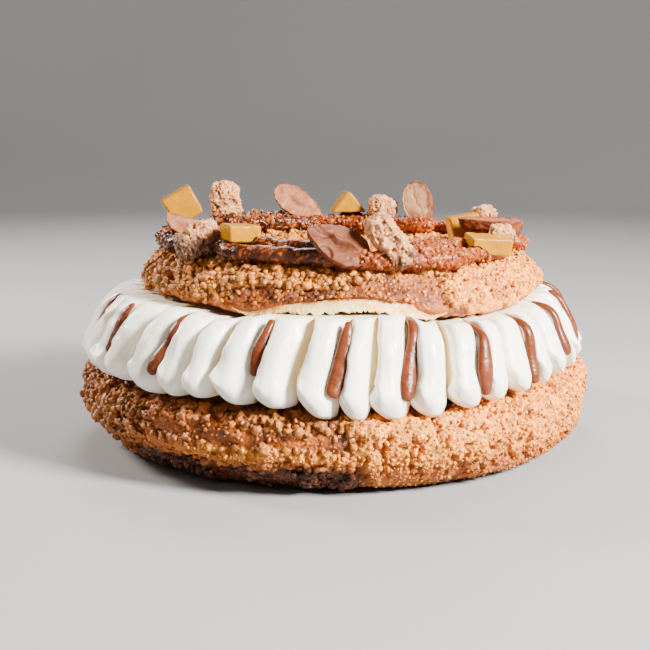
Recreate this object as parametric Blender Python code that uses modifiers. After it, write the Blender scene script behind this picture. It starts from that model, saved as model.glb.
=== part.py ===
"""A Paris-Brest: a baked choux ring cut in two, filled with piped cream and topped with a piped praline
cord, mango dice, almond halves and crumble. Metres, +Z up, origin on the table at the ring's centre.

Angles round the ring are in degrees, from the front (-Y) towards +X.
"""

import math

import bmesh
import bpy
from mathutils import Euler, Vector

# Bottom half of the choux ring
BASE_OUTER = 0.0883  # widest radius
BASE_HOLE = 0.0285  # radius of the ring's hole
BASE_HEIGHT = 0.0286  # height of the cut face
BASE_LEAN = 0.0030  # the foot sits this far to +X of the widest part
RIM_SAG = 0.0040  # the cut face's rim is this much lower at the front
BASE_STEPS = 48
BASE_MIDDLE = 0.058  # radius of the middle of the ring's body

# Piped cream
CREAM_OUTER = 0.0861
CREAM_TOP = 0.0514
CREAM_SHIFT = -0.0006  # along X
LOBES = 44
LOBE_STEPS = 4  # facets across a lobe
LOBE_DEPTH = 0.0034
LOBE_TWIST = -5.0  # how far round a lobe swings between its top and its foot
FIRST_GROOVE = 1.2
FOOT_CURL = 0.0026  # a groove ends this much higher than the lobes beside it

# Top half of the choux ring
LID_OUTER = 0.0698  # widest radius
LID_BOTTOM = 0.0519
LID_TOP = 0.0667
LID_SHIFT = 0.0030  # along X
LID_TILT = 0.09  # how much taller than the middle the left side is, as a share
LID_STEPS = 44
LID_MIDDLE = 0.052
LID_DOME = [
    (0.0383, 0.0606),
    (0.0455, 0.0652),
    (0.0550, LID_TOP),
    (0.0624, 0.0646),
    (0.0670, 0.0604),
    (LID_OUTER, 0.0556),
]

GAP = 0.0004  # clearance between pieces that touch

# Praline cord: at each of three places it runs along the outside, doubles back, runs along the inside
# and doubles back again
CORD_RADIUS = 0.0024
CORD_RUNS = 3
CORD_CENTRE = 10.0  # angle of the middle of an outer run
CORD_HALF_RUN = 46.0
CORD_OUTER = 0.0616
CORD_SPACING = 0.0064
CORD_STEP = 0.0095  # distance between points along a run
CORD_TURN_POINTS = 4
CORD_CLEARANCE = 0.0009

# Each topping: where its middle is, its length, width and thickness, and its turn in degrees about X, Y, Z
MANGO_DICE = {
    "mango_left": ((-0.0532, 0.0050, 0.0788), (0.0110, 0.0090, 0.0108), (0, -30, 12)),
    "mango_front_left": ((-0.0288, -0.0455, 0.0741), (0.0104, 0.0100, 0.0054), (0, 2, 22)),
    "mango_back": ((0.0054, 0.0530, 0.0768), (0.0146, 0.0098, 0.0080), (0, 0, 10)),
    "mango_right_back": ((0.0440, -0.0130, 0.0722), (0.0100, 0.0080, 0.0100), (0, -9, 8)),
    "mango_right": ((0.0487, -0.0412, 0.0700), (0.0138, 0.0080, 0.0056), (8, 5, 16)),
}
WEDGES = {"mango_back": 0.08}  # cut from the fruit's edge: how wide the top is, as a share of the bottom
ALMOND_HALVES = {
    "almond_left": ((-0.0466, -0.0225, 0.0742), (0.0190, 0.0125, 0.0044), (48, 14, 16)),
    "almond_back": ((-0.0135, 0.0515, 0.0747), (0.0240, 0.0118, 0.0050), (52, 33, -6)),
    "almond_front": ((0.0006, -0.0615, 0.0712), (0.0210, 0.0136, 0.0058), (-46, -26, 180)),
    "almond_standing": ((0.0338, 0.0440, 0.0752), (0.0210, 0.0126, 0.0058), (90, 77, -32)),
    "almond_right": ((0.0522, -0.0232, 0.0728), (0.0240, 0.0105, 0.0074), (-4, -2, 184)),
}
# A straight cut across an almond: the side it takes off, and how far from the middle, as a share
TRIMS = {"almond_left": ((0, 1, 0), 0.25), "almond_right": ((-1, 0, 0), 0.80)}
CRUMBLES = {
    "crumble_back_left": ((-0.0406, 0.0330, 0.0775), (0.0118, 0.0090, 0.0170), (0, -3, 15)),
    "crumble_left": ((-0.0430, -0.0385, 0.0707), (0.0158, 0.0105, 0.0112), (10, -30, 8)),
    "crumble_front": ((0.0168, -0.0608, 0.0733), (0.0198, 0.0086, 0.0090), (0, 50, 0)),
    "crumble_back": ((0.0190, 0.0485, 0.0742), (0.0112, 0.0100, 0.0105), (0, 20, 0)),
    "crumble_right_back": ((0.0525, -0.0060, 0.0738), (0.0080, 0.0075, 0.0130), (0, -16, 10)),
    "crumble_right": ((0.0540, -0.0322, 0.0726), (0.0092, 0.0046, 0.0060), (0, 0, 24)),
}

COLOURS = {
    "choux": ((0.50, 0.27, 0.12), 0.75),
    "cream": ((0.90, 0.87, 0.78), 0.45),
    "praline": ((0.36, 0.15, 0.05), 0.30),
    "mango": ((0.95, 0.55, 0.05), 0.30),
    "almond": ((0.62, 0.34, 0.20), 0.55),
    "crumble": ((0.62, 0.44, 0.29), 0.85),
}


def clear_scene():
    for obj in list(bpy.data.objects):
        bpy.data.objects.remove(obj)


def new_collection(name):
    collection = bpy.data.collections.new(name)
    bpy.context.scene.collection.children.link(collection)
    return collection


def material(name):
    colour, roughness = COLOURS[name]
    made = bpy.data.materials.new(name)
    made.use_nodes = True
    shader = made.node_tree.nodes["Principled BSDF"]
    shader.inputs["Base Color"].default_value = (*colour, 1.0)
    shader.inputs["Roughness"].default_value = roughness
    shader.inputs["Metallic"].default_value = 0.0
    return made


def on_ring(angle, radius, height):
    """The point at an angle in degrees round the ring."""
    turn = math.radians(angle)
    return Vector((radius * math.sin(turn), -radius * math.cos(turn), height))


def ring_place(point):
    """(angle, radius) of a point."""
    return math.degrees(math.atan2(point.x, -point.y)), math.hypot(point.x, point.y)


def between(value, low, high):
    """A smooth rise from 0 at low to 1 at high."""
    share = min(1.0, max(0.0, (value - low) / (high - low)))
    return share * share * (3 - 2 * share)


def outline_mesh(name, points):
    """A closed outline in the XZ plane. A point is (radius, height) where the outline is round, and has a
    third item where it turns a corner."""
    curve = bpy.data.curves.new(name, "CURVE")
    curve.dimensions = "3D"
    curve.resolution_u = 2
    spline = curve.splines.new("BEZIER")
    spline.bezier_points.add(len(points) - 1)
    spline.use_cyclic_u = True
    for knot, (radius, height, *corner) in zip(spline.bezier_points, points):
        knot.co = (radius, 0.0, height)
        knot.handle_left_type = knot.handle_right_type = "VECTOR" if corner else "AUTO"
    holder = bpy.data.objects.new(name, curve)
    bpy.context.scene.collection.objects.link(holder)
    bpy.context.view_layer.update()
    mesh = bpy.data.meshes.new_from_object(holder)
    bpy.data.objects.remove(holder)
    return mesh


def turned_ring(name, collection, points, steps):
    """The outline turned round the Z axis, with its Screw applied so that its surface can be shaped."""
    profile = bpy.data.objects.new(name, outline_mesh(name, points))
    collection.objects.link(profile)
    screw = profile.modifiers.new("turn", "SCREW")
    screw.axis = "Z"
    screw.steps = screw.render_steps = steps
    screw.use_merge_vertices = True
    screw.merge_threshold = 0.00005
    bpy.context.view_layer.update()
    graph = bpy.context.evaluated_depsgraph_get()
    profile.data = bpy.data.meshes.new_from_object(profile.evaluated_get(graph))
    profile.modifiers.clear()
    profile.data.name = name
    return profile


def swell(angle, height, seed):
    """The gentle unevenness of hand-piped dough, from -1 to 1."""
    turn = math.radians(angle)
    slow = math.sin(2 * turn + seed) + math.sin(3 * turn + 2.1 * seed)
    quick = math.sin(7 * turn + 3 * seed + 90 * height) + math.sin(11 * turn - seed - 140 * height)
    return (slow + 0.8 * quick) / 3.6


def make_lumpy(ring, middle, depth, seed, low, high):
    """Pushes the sides of a ring in and out. Its flat faces, at heights low and high, stay flat."""
    fade = 0.006
    for vertex in ring.data.vertices:
        angle, radius = ring_place(vertex.co)
        height = vertex.co.z
        side = min(1.0, max(0.0, (height - low) / fade), max(0.0, (high - height) / fade))
        outward = 1.0 if radius > middle else -1.0
        push = depth * side * outward * swell(angle, height, seed)
        vertex.co = on_ring(angle, radius + push, height)


def rim_drop(angle, radius):
    """How far the cut between the bottom half and the cream lies under its highest level."""
    front = between(math.cos(math.radians(angle)), 0.0, 0.5)
    return RIM_SAG * front * between(radius, 0.070, 0.080)


def bottom_half(collection):
    """The lower half of the choux ring: a flat foot, a full round side and a cut face."""
    corner = True
    points = [
        (0.0800, BASE_HEIGHT, corner),
        (0.0860, 0.0268),
        (BASE_OUTER, 0.0208),
        (0.0864, 0.0115),
        (0.0806, 0.0038),
        (0.0730, 0.0, corner),
        (0.0380, 0.0, corner),
        (0.0305, 0.0060, corner),
        (BASE_HOLE, 0.0150, corner),
        (0.0310, 0.0245, corner),
        (0.0370, BASE_HEIGHT, corner),
    ]
    ring = turned_ring("base_choux", collection, points, BASE_STEPS)
    make_lumpy(ring, BASE_MIDDLE, 0.0007, 0.7, 0.0, BASE_HEIGHT)
    for vertex in ring.data.vertices:
        angle, radius = ring_place(vertex.co)
        height = vertex.co.z
        vertex.co.z -= rim_drop(angle, radius) * between(height, 0.014, BASE_HEIGHT)
        if radius > BASE_MIDDLE:
            vertex.co.x += BASE_LEAN * (1 - between(height, 0.0, 0.016))
    return ring


def groove_angle(number):
    """Where the foot of a groove between two lobes lies. Hand piping is never quite even: the lobes bunch
    up in places, and no two are alike."""
    bunching = -2.6 * math.sin(4 * math.pi * number / LOBES)
    return FIRST_GROOVE + number * 360.0 / LOBES + bunching + 0.6 * math.sin(2.4 * number)


def piped_cream(collection):
    """The cream filling, as lobes piped side by side over a solid ring."""
    corner = True
    floor = BASE_HEIGHT + GAP
    points = [
        (0.0670, CREAM_TOP, corner),
        (0.0745, 0.0518, corner),
        (0.0797, 0.0470, corner),
        (0.0832, 0.0408, corner),
        (CREAM_OUTER, 0.0345, corner),
        (0.0848, floor, corner),
        (0.0800, floor, corner),
        (0.0370, floor, corner),
        (0.0312, 0.0380, corner),
        (0.0370, CREAM_TOP, corner),
    ]
    # Across a lobe: where each facet corner lies, how deep it is and how far its foot curls up. A crisp
    # leading edge stands proud, and the lobe slopes back until the next one covers it.
    relief = [(0.0, 1.0, 1.0), (0.15, 0.0, 0.35), (0.46, 0.12, 0.0), (0.83, 0.55, 0.4)]
    ring = turned_ring("cream", collection, points, LOBES * LOBE_STEPS)
    for vertex in ring.data.vertices:
        angle, radius = ring_place(vertex.co)
        height = vertex.co.z
        corners = LOBES * LOBE_STEPS
        number, step = divmod(round((angle % 360.0) / 360.0 * corners) % corners, LOBE_STEPS)
        share, depth, curl = relief[step]
        outside = radius > BASE_MIDDLE
        angle = groove_angle(number) * (1 - share) + groove_angle(number + 1) * share
        side = min(1.0, abs(radius - BASE_MIDDLE) / 0.025) ** 3
        if outside:
            angle += LOBE_TWIST * (CREAM_TOP - height) / (CREAM_TOP - floor)
            radius -= LOBE_DEPTH * depth * side
            foot = 1 - between(height, floor, 0.036)
            drop = rim_drop(angle, radius) * (1 - between(height, 0.030, 0.045))
            height += FOOT_CURL * curl * side * foot - drop
        else:
            radius += 0.35 * LOBE_DEPTH * depth * side
        vertex.co = on_ring(angle, radius, height)
        vertex.co.x += CREAM_SHIFT
    return ring


def lid_rise(angle):
    """How much the top half rises over its plain dome, as a share of its height."""
    return -LID_TILT * math.sin(math.radians(angle)) + 0.03 * swell(angle, 0.0, 1.1)


def top_half(collection):
    """The smaller upper half of the choux ring, flat where it was cut and domed above."""
    corner = True
    points = [
        *LID_DOME,
        (0.0672, LID_BOTTOM, corner),
        (0.0395, LID_BOTTOM, corner),
        (0.0363, 0.0560),
    ]
    ring = turned_ring("lid_choux", collection, points, LID_STEPS)
    make_lumpy(ring, LID_MIDDLE, 0.0006, 2.3, LID_BOTTOM, LID_TOP)
    for vertex in ring.data.vertices:
        angle, _ = ring_place(vertex.co)
        vertex.co.z += (vertex.co.z - LID_BOTTOM) * lid_rise(angle)
        vertex.co.x += LID_SHIFT
    return ring


def dome_height(angle, radius):
    """Height of the top half's dome at a place round its own centre."""
    for (near, low), (far, high) in zip(LID_DOME, LID_DOME[1:]):
        if radius <= far:
            height = low + (high - low) * (radius - near) / (far - near)
            break
    return height + (height - LID_BOTTOM) * lid_rise(angle)


def cord_run(start, end, radius):
    """Places along a run at one radius, from one angle to another, without its ends."""
    length = math.radians(abs(end - start)) * radius
    count = max(2, round(length / CORD_STEP))
    return [(start + (end - start) * n / count, radius) for n in range(1, count)]


def cord_turn(angle, radius, forward, inward):
    """Places round a half circle that doubles the cord back. It starts at a radius, bulges forward or back
    and comes out one spacing further in or out."""
    arc = CORD_SPACING / 2
    middle = radius + inward * arc
    places = []
    for step in range(CORD_TURN_POINTS + 1):
        turn = math.pi * step / CORD_TURN_POINTS
        along = forward * arc * math.sin(turn)
        places.append((angle + math.degrees(along / middle), middle - inward * arc * math.cos(turn)))
    return places


def cord_places():
    """The praline cord's course as (angle, radius) places round the top half's centre."""
    places = []
    pitch = 360.0 / CORD_RUNS
    outer, inner = CORD_OUTER, CORD_OUTER - 2 * CORD_SPACING
    middle = CORD_OUTER - CORD_SPACING
    for run in range(CORD_RUNS):
        centre = CORD_CENTRE + run * pitch
        start, end = centre - CORD_HALF_RUN, centre + CORD_HALF_RUN
        back, ahead = centre + pitch / 2 - CORD_HALF_RUN, centre + pitch / 2 + CORD_HALF_RUN
        following = start + pitch
        places += cord_run(start, end, outer)
        places += cord_turn(end, outer, 1, -1)
        places += cord_run(end, back, middle)
        places += cord_turn(back, middle, -1, -1)
        places += cord_run(back, ahead, inner)
        places += cord_turn(ahead, inner, 1, 1)
        places += cord_run(ahead, following, middle)
        places += cord_turn(following, middle, -1, 1)
    return places


def cord_points():
    points = []
    for angle, radius in cord_places():
        radius += 0.0006 * math.sin(math.radians(3 * angle + 40)) + 0.0005 * math.sin(math.radians(5 * angle))
        point = on_ring(angle, radius, dome_height(angle, radius) + CORD_RADIUS + CORD_CLEARANCE)
        point.x += LID_SHIFT
        points.append(point)
    return points


def tube(name, collection, radius):
    """A closed six-sided tube along the praline cord."""
    curve = bpy.data.curves.new(name, "CURVE")
    curve.dimensions = "3D"
    curve.bevel_depth = radius
    curve.bevel_resolution = 1
    curve.twist_mode = "Z_UP"
    spline = curve.splines.new("POLY")
    points = cord_points()
    spline.points.add(len(points) - 1)
    spline.use_cyclic_u = True
    for knot, point in zip(spline.points, points):
        knot.co = (*point, 1.0)
    cord = bpy.data.objects.new(name, curve)
    collection.objects.link(cord)
    return cord


def as_mesh(obj, collection):
    """The object's evaluated shape as a mesh object of the same name."""
    bpy.context.view_layer.update()
    graph = bpy.context.evaluated_depsgraph_get()
    mesh = bpy.data.meshes.new_from_object(obj.evaluated_get(graph))
    name = obj.name
    bpy.data.objects.remove(obj)
    made = bpy.data.objects.new(name, mesh)
    collection.objects.link(made)
    return made


def clearances(cutters, lid):
    """What a topping is cut back from: the cord and the top half, each a gap larger."""
    cord_room = as_mesh(tube("cord_room", cutters, CORD_RADIUS + GAP), cutters)
    lid_room = bpy.data.objects.new("lid_room", lid.data.copy())
    cutters.objects.link(lid_room)
    shape = bmesh.new()
    shape.from_mesh(lid_room.data)
    shape.normal_update()
    for vertex in shape.verts:
        vertex.co += vertex.normal * GAP
    shape.to_mesh(lid_room.data)
    shape.free()
    for room in (cord_room, lid_room):
        room.hide_render = True
        room.display_type = "WIRE"
    return cord_room, lid_room


def place(obj, middle, turn, rooms):
    """Puts a topping where it lies and cuts it back from what it rests on."""
    obj.location = middle
    obj.rotation_euler = Euler([math.radians(angle) for angle in turn])
    for room in rooms:
        cut = obj.modifiers.new("rest", "BOOLEAN")
        cut.operation = "DIFFERENCE"
        cut.object = room


def topping(name, collection, shape):
    mesh = bpy.data.meshes.new(name)
    shape.to_mesh(mesh)
    shape.free()
    obj = bpy.data.objects.new(name, mesh)
    collection.objects.link(obj)
    return obj


def mango_die(name, collection, size):
    """A knife-cut die of fruit: a box a little out of square, with softened edges."""
    shape = bmesh.new()
    bmesh.ops.create_cube(shape, size=1.0)
    bmesh.ops.scale(shape, vec=size, verts=shape.verts)
    top = [vertex for vertex in shape.verts if vertex.co.z > 0]
    bmesh.ops.scale(shape, vec=(WEDGES.get(name, 1.0), 1.0, 1.0), verts=top)
    for vertex in shape.verts:
        vertex.co.x *= 1.0 + 12.0 * vertex.co.z
        vertex.co.y *= 1.0 - 9.0 * vertex.co.x
    die = topping(name, collection, shape)
    bevel = die.modifiers.new("soft edges", "BEVEL")
    bevel.width = 0.0005
    bevel.segments = 1
    return die


def slice_off(shape, side, distance):
    """Removes what lies beyond a flat cut, and closes it."""
    cut = bmesh.ops.bisect_plane(
        shape,
        geom=shape.verts[:] + shape.edges[:] + shape.faces[:],
        plane_co=side * distance,
        plane_no=side,
        clear_outer=True,
    )
    rim = [item for item in cut["geom_cut"] if isinstance(item, bmesh.types.BMEdge)]
    bmesh.ops.edgeloop_fill(shape, edges=rim)


def almond_half(name, collection, size):
    """Half an almond: a tear-shaped dome under a flat split face, with its point at +X."""
    length, width, thickness = size
    shape = bmesh.new()
    bmesh.ops.create_uvsphere(shape, u_segments=14, v_segments=8, radius=1.0)
    slice_off(shape, Vector((0, 0, 1)), 0.02)
    if name in TRIMS:
        side, distance = TRIMS[name]
        slice_off(shape, Vector(side), distance)
    for vertex in shape.verts:
        taper = 1.0 - 0.34 * vertex.co.x - 0.16 * vertex.co.x**2
        vertex.co.x *= length / 2
        vertex.co.y *= width / 2 * taper
        vertex.co.z = (vertex.co.z + 0.5) * thickness
    return topping(name, collection, shape)


def crumble(name, collection, size, seed):
    """A broken lump of crumble: a rough block with uneven, rounded corners."""
    shape = bmesh.new()
    bmesh.ops.create_icosphere(shape, subdivisions=2, radius=1.0)
    for vertex in shape.verts:
        boxy = Vector([math.copysign(abs(c) ** 0.62, c) for c in vertex.co])
        rough = 1.0 + 0.09 * math.sin(9 * boxy.x + seed) * math.sin(8 * boxy.y - seed) * math.sin(7 * boxy.z)
        vertex.co = Vector([0.5 * s * c * rough for s, c in zip(size, boxy)])
    return topping(name, collection, shape)


def paint(objects, name):
    made = material(name)
    for obj in objects:
        obj.data.materials.clear()
        obj.data.materials.append(made)


def main():
    clear_scene()
    parts = new_collection("paris_brest")
    cutters = new_collection("cutters")
    base = bottom_half(parts)
    cream = piped_cream(parts)
    lid = top_half(parts)
    cord = tube("praline_cord", parts, CORD_RADIUS)
    rooms = clearances(cutters, lid)
    dice = [mango_die(name, parts, size) for name, (_, size, _) in MANGO_DICE.items()]
    nuts = [almond_half(name, parts, size) for name, (_, size, _) in ALMOND_HALVES.items()]
    lumps = [
        crumble(name, parts, size, seed) for seed, (name, (_, size, _)) in enumerate(CRUMBLES.items())
    ]
    toppings = {**MANGO_DICE, **ALMOND_HALVES, **CRUMBLES}
    for obj in dice + nuts + lumps:
        middle, _, turn = toppings[obj.name]
        place(obj, middle, turn, rooms)
    paint([base, lid], "choux")
    paint([cream], "cream")
    paint([cord], "praline")
    paint(dice, "mango")
    paint(nuts, "almond")
    paint(lumps, "crumble")


main()
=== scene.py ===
"""The looks of a Paris-Brest: a baked choux ring with a craquelin crust, cut in two and filled with lobes of
piped cream, under a piped praline cord, mango dice, almond halves and crumble.

Metres, +Z up. Angles round the ring are in degrees, from the front (-Y) towards +X.
"""

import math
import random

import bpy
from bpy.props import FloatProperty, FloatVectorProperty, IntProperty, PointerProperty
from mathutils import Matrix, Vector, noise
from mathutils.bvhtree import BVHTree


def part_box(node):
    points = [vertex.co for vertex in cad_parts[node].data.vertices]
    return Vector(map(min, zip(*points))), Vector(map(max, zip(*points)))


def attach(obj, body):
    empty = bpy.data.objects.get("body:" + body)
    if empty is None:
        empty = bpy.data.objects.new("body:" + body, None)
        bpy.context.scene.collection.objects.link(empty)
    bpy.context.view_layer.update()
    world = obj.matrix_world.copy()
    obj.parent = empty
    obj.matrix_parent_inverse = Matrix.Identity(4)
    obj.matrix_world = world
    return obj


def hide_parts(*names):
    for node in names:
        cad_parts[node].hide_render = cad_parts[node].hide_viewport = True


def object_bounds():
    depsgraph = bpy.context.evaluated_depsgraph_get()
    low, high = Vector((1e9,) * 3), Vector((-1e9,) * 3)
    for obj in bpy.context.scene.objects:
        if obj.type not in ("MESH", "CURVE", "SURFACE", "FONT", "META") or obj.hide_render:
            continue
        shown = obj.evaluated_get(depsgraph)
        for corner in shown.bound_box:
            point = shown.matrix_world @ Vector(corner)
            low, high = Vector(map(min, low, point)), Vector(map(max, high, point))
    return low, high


bl_info = {
    "name": "Paris-Brest",
    "version": (1, 0, 0),
    "blender": (4, 5, 0),
    "location": "View3D > Sidebar > Pastry",
    "description": "Builds a Paris-Brest: crust, piped cream, praline and toppings",
    "category": "Add Mesh",
}

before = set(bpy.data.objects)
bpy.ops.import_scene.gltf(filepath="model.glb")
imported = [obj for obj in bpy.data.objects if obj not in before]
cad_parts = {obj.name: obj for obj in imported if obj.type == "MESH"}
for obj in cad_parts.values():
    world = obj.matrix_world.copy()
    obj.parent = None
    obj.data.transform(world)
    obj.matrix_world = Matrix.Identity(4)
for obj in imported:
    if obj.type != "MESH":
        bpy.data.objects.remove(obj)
CAD_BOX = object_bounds()
BODY = "root"
MM = 0.001
PATTERN = 4  # starts the noise that warps the crusts, so that it is the same each time
DOWN = Vector((0, 0, -1))

# Levels of the rings, and how far to +X the top half sits, read from the frame
BASE_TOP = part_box("base_choux")[1].z
CREAM_FLOOR = BASE_TOP + 0.0004
CREAM_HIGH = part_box("cream")[1].z
LID_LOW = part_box("lid_choux")[0].z
LID_CENTRE = (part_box("lid_choux")[0].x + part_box("lid_choux")[1].x) / 2

# A ring is first rolled up as a thin tube of this radius, about this middle
RING_MIDDLE = 0.058
TUBE_RADIUS = 0.01
MERGE_DISTANCE = 0.00002
NODE_MERGE_DISTANCE = 0.00001  # corners of a CAD node's faces that lie nearer are the same corner

# The crusts: rays out of a core inside each ring find its surface. A core is an inner radius, an outer
# radius and a height; the rows are those on the outer side, the top, the inner side and the bottom
BASE_CORE = (0.0450, 0.0715, 0.0140)
BASE_ROWS = (62, 12, 16, 8)
BASE_STEPS = 960
BASE_SMOOTHING = 24
LID_CORE = (0.0450, 0.0610, 0.0578)
LID_ROWS = (44, 34, 32, 10)
LID_STEPS = 780
LID_SMOOTHING = 12

# Grains strewn on the crusts. Spacing is in grain widths, and a rise below 0 sinks a grain in
MOST_COARSE = 4000
MOST_FINE = 9500
COARSE_SPACING, COARSE_RISE = 0.70, -0.05
FINE_SPACING, FINE_RISE = 1.15, -0.10
GRAIN_SIZES = (0.50, 1.35)

# The cream's lobes. Where the foot of each groove lies at the front, in degrees; the others share the rest
FRONT_GROOVES = (-92.0, -82.5, -73.0, -65.0, -57.5, -47.0, -38.5, -31.5, -24.8, -15.8, -7.0, 1.5, 8.0, 16.6,
                 25.0, 33.2, 39.4, 48.8, 55.6, 66.0, 73.0, 82.0, 91.0)
LOBES = 44
ACROSS = 26  # columns in a lobe
CREAM_SHIFT = -0.0006  # along X
CREAM_OUTLINE = [
    (0.0600, CREAM_HIGH - 0.0016),
    (0.0670, CREAM_HIGH - 0.0004),
    (0.0742, CREAM_HIGH - 0.0002),
    (0.0797, 0.0470),
    (0.0832, 0.0408),
    (0.0856, 0.0345),
    (0.0850, 0.0305),
]
ROLL = 0.0026  # height of the rounded underside of a lobe's foot
CREAM_ROWS = {"outside": 46, "top": 8, "inside": 7, "floor": 14, "foot": 5}
CREAM_EDGE = (0.0600, CREAM_HIGH - 0.0016)  # radius and height where the outside meets the top
CREAM_INSIDE = 0.0370  # radius where the top and the floor meet the inside
INSIDE_OUTLINE = [(0.0360, CREAM_HIGH - 0.0020), (0.0312, 0.0400), (0.0360, CREAM_FLOOR)]
FOOT_INNER, FOOT_REACH = 0.0818, 0.0032  # where the floor turns up into the foot, and how far that reaches
FOOT_OUTER = 0.0850
# Across a lobe, as (share of its width, depth in the groove). A petal has a crisp leading edge that
# overlaps the lobe before it and slopes back; a finger is fuller, with a narrow slit beside it
PETAL = [(0.05, 1.0), (-0.02, 0.84), (-0.06, 0.46), (-0.04, 0.12), (0.04, 0.0), (0.19, -0.03), (0.37, 0.07),
         (0.54, 0.36), (0.71, 0.74), (0.88, 0.97)]
FINGER = [(0.02, 1.0), (-0.03, 0.66), (-0.01, 0.26), (0.06, 0.04), (0.20, -0.03), (0.42, -0.01), (0.62, 0.10),
          (0.78, 0.34), (0.90, 0.68), (0.97, 0.95)]
FOOT_LIFT = [(1.0,), (1.0,), (0.90,), (0.66,), (0.36,), (0.08,), (0.0,), (0.0,), (0.04,), (0.16,)]

# How far the top half's rim hangs above or below its level, as (angle, millimetres)
RIM_WAVE = [(-150, 0.8), (-120, -1.4), (-85, 0.2), (-60, 0.9), (-41, 0.0), (-27, -1.7), (-9, 1.4), (4, 2.6),
            (17, 0.4), (24, -2.8), (36, -3.0), (52, -2.4), (75, 0.6), (105, -0.8), (135, 1.0), (170, -0.6)]

# Chocolate sauce lies in these grooves. Where a front drip ends, as millimetres above the table
DRIP_ENDS = {2: 38.0, 4: 36.0, 6: 33.5, 9: 36.0, 11: 31.0, 13: 29.3, 15: 29.0, 17: 29.0, 19: 34.0}
BACK_DRIPS = (0, 21, 23, 25, 28, 30, 32, 35, 37, 40, 42)
BACK_DRIP_ENDS = (29.0, 36.0)
DRIP_POINTS = 25
DRIP_EASING = 4  # times a drip's course is smoothed
DRIP_TOPS = (0.0514, 0.0522)  # heights between which the drips start
DRIP_TOP_OFFSETS = (-1.8, -1.4)  # degrees from the groove, at the top and at the end
DRIP_END_OFFSETS = (-2.4, -2.0)
DRIP_EDGE = 0.0600  # radius of the edge that a drip starts from where a lobe is short

FAR_OUT = 0.12  # outside or above everything, where a ray can start

# The torn skin under the front of the top half
FLAP_START, FLAP_END = -33.0, 29.0  # angles
FLAP_GRID = (320, 12)
FLAP_RADIUS = 0.0655

# Praline cord, piped to and fro on the top half
CORD_RADIUS = 0.0024
CORD_RUNS = 3
CORD_CENTRE = 10.0  # angle of the middle of an outer run
CORD_HALF_RUN = 46.0
CORD_OUTER = 0.0616
CORD_SPACING = 0.0064
CORD_STEP = 0.0006
CORD_SIDES = 26
CORD_CLEARANCE = 0.0006
CORD_EASING = 12  # times the cord's course is smoothed
NUT_SPACING, NUT_WIDTH, NUT_RISE = 0.0011, 0.0017, -0.20

CRUMB_SPACING, CRUMB_WIDTH, CRUMB_RISE = 0.0024, 0.0015, 0.45

# Toppings, each with the fineness of its mesh: size of a cell, and rounds of smoothing
MANGO_MESH = (0.00028, 4)
ALMOND_MESH = (0.00030, 5)
CRUMBLE_MESH = (0.00034, 2)

MANGO_DICE = ("mango_left", "mango_front_left", "mango_back", "mango_right_back", "mango_right")
# How dark each is roasted, and how pale its cut face is. The standing almond's pale face is partly painted
# light: it faces away from the key light
ALMONDS = {"almond_left": (0.30, 0.0), "almond_back": (0.22, 0.0), "almond_front": (1.0, 0.0),
           "almond_standing": (0.0, 0.9), "almond_right": (0.4, 0.0)}
CRUMBLES = ("crumble_back_left", "crumble_left", "crumble_front", "crumble_back", "crumble_right_back",
            "crumble_right")
SOAKED = {"crumble_left": 0.38}  # how much higher than the rest caramel has crept up a lump

# The studio
FLOOR_SIZE = 6.0
FLOOR_STEPS = 120
COVE_START, COVE_RADIUS = 1.0, 0.6  # where the floor begins to curve up all round, and how gently
LIGHT_AIM = Vector((0, 0, 0.045))
LIGHTS = {  # place, width, power and tint
    "key": ((0.60, -0.41, 0.44), 0.24, 48.0, (1.0, 0.985, 0.96)),
    "fill": ((-0.20, -0.62, 0.50), 0.24, 0.5, (1.0, 0.86, 0.70)),
    "rim": ((-0.60, 0.22, 0.42), 0.20, 10.0, (1.0, 0.94, 0.86)),
    "back": ((-0.10, 0.60, 0.66), 0.34, 6.0, (1.0, 0.98, 0.95)),
}
AIR_COLOUR, AIR_STRENGTH = (0.93, 0.95, 1.0, 1.0), 0.055
CAMERA_PLACE = (0.0, -0.41, 0.11)
CAMERA_DIP = 10.1  # degrees below level
CAMERA_LENS, CAMERA_SENSOR = 65.2, 36.0
CAMERA_SHIFT = -0.013076923  # as a share of the width it sees

# ---------------------------------------------------------------- small helpers


def on_ring(angle, radius, height):
    """The point at an angle, a radius and a height."""
    turn = math.radians(angle)
    return Vector((radius * math.sin(turn), -radius * math.cos(turn), height))


def ring_place(point):
    """(angle, radius) of a point."""
    return math.degrees(math.atan2(point.x, -point.y)), math.hypot(point.x, point.y)


def between(value, low, high):
    """A smooth rise from 0 at low to 1 at high."""
    share = min(1.0, max(0.0, (value - low) / (high - low)))
    return share * share * (3 - 2 * share)


def hump(value, middle, width):
    """1 at the middle, falling smoothly away to 0 on both sides."""
    return math.exp(-(((value - middle) / width) ** 2))


def turned_from(angle, other):
    """The difference between two angles, from -180 to 180."""
    return (angle - other + 180.0) % 360.0 - 180.0


def spline(knots, share):
    """A smooth curve through the knots; share runs from 0 at the first to 1 at the last."""
    place = min(max(share, 0.0), 1.0) * (len(knots) - 1)
    first = min(int(place), len(knots) - 2)
    t = place - first
    last = len(knots) - 1
    around = [knots[min(max(first + step, 0), last)] for step in (-1, 0, 1, 2)]
    weights = (
        (-t + 2 * t * t - t**3) / 2,
        (2 - 5 * t * t + 3 * t**3) / 2,
        (t + 4 * t * t - 3 * t**3) / 2,
        (t**3 - t * t) / 2,
    )
    return tuple(sum(w * k[axis] for w, k in zip(weights, around)) for axis in range(len(knots[0])))


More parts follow.
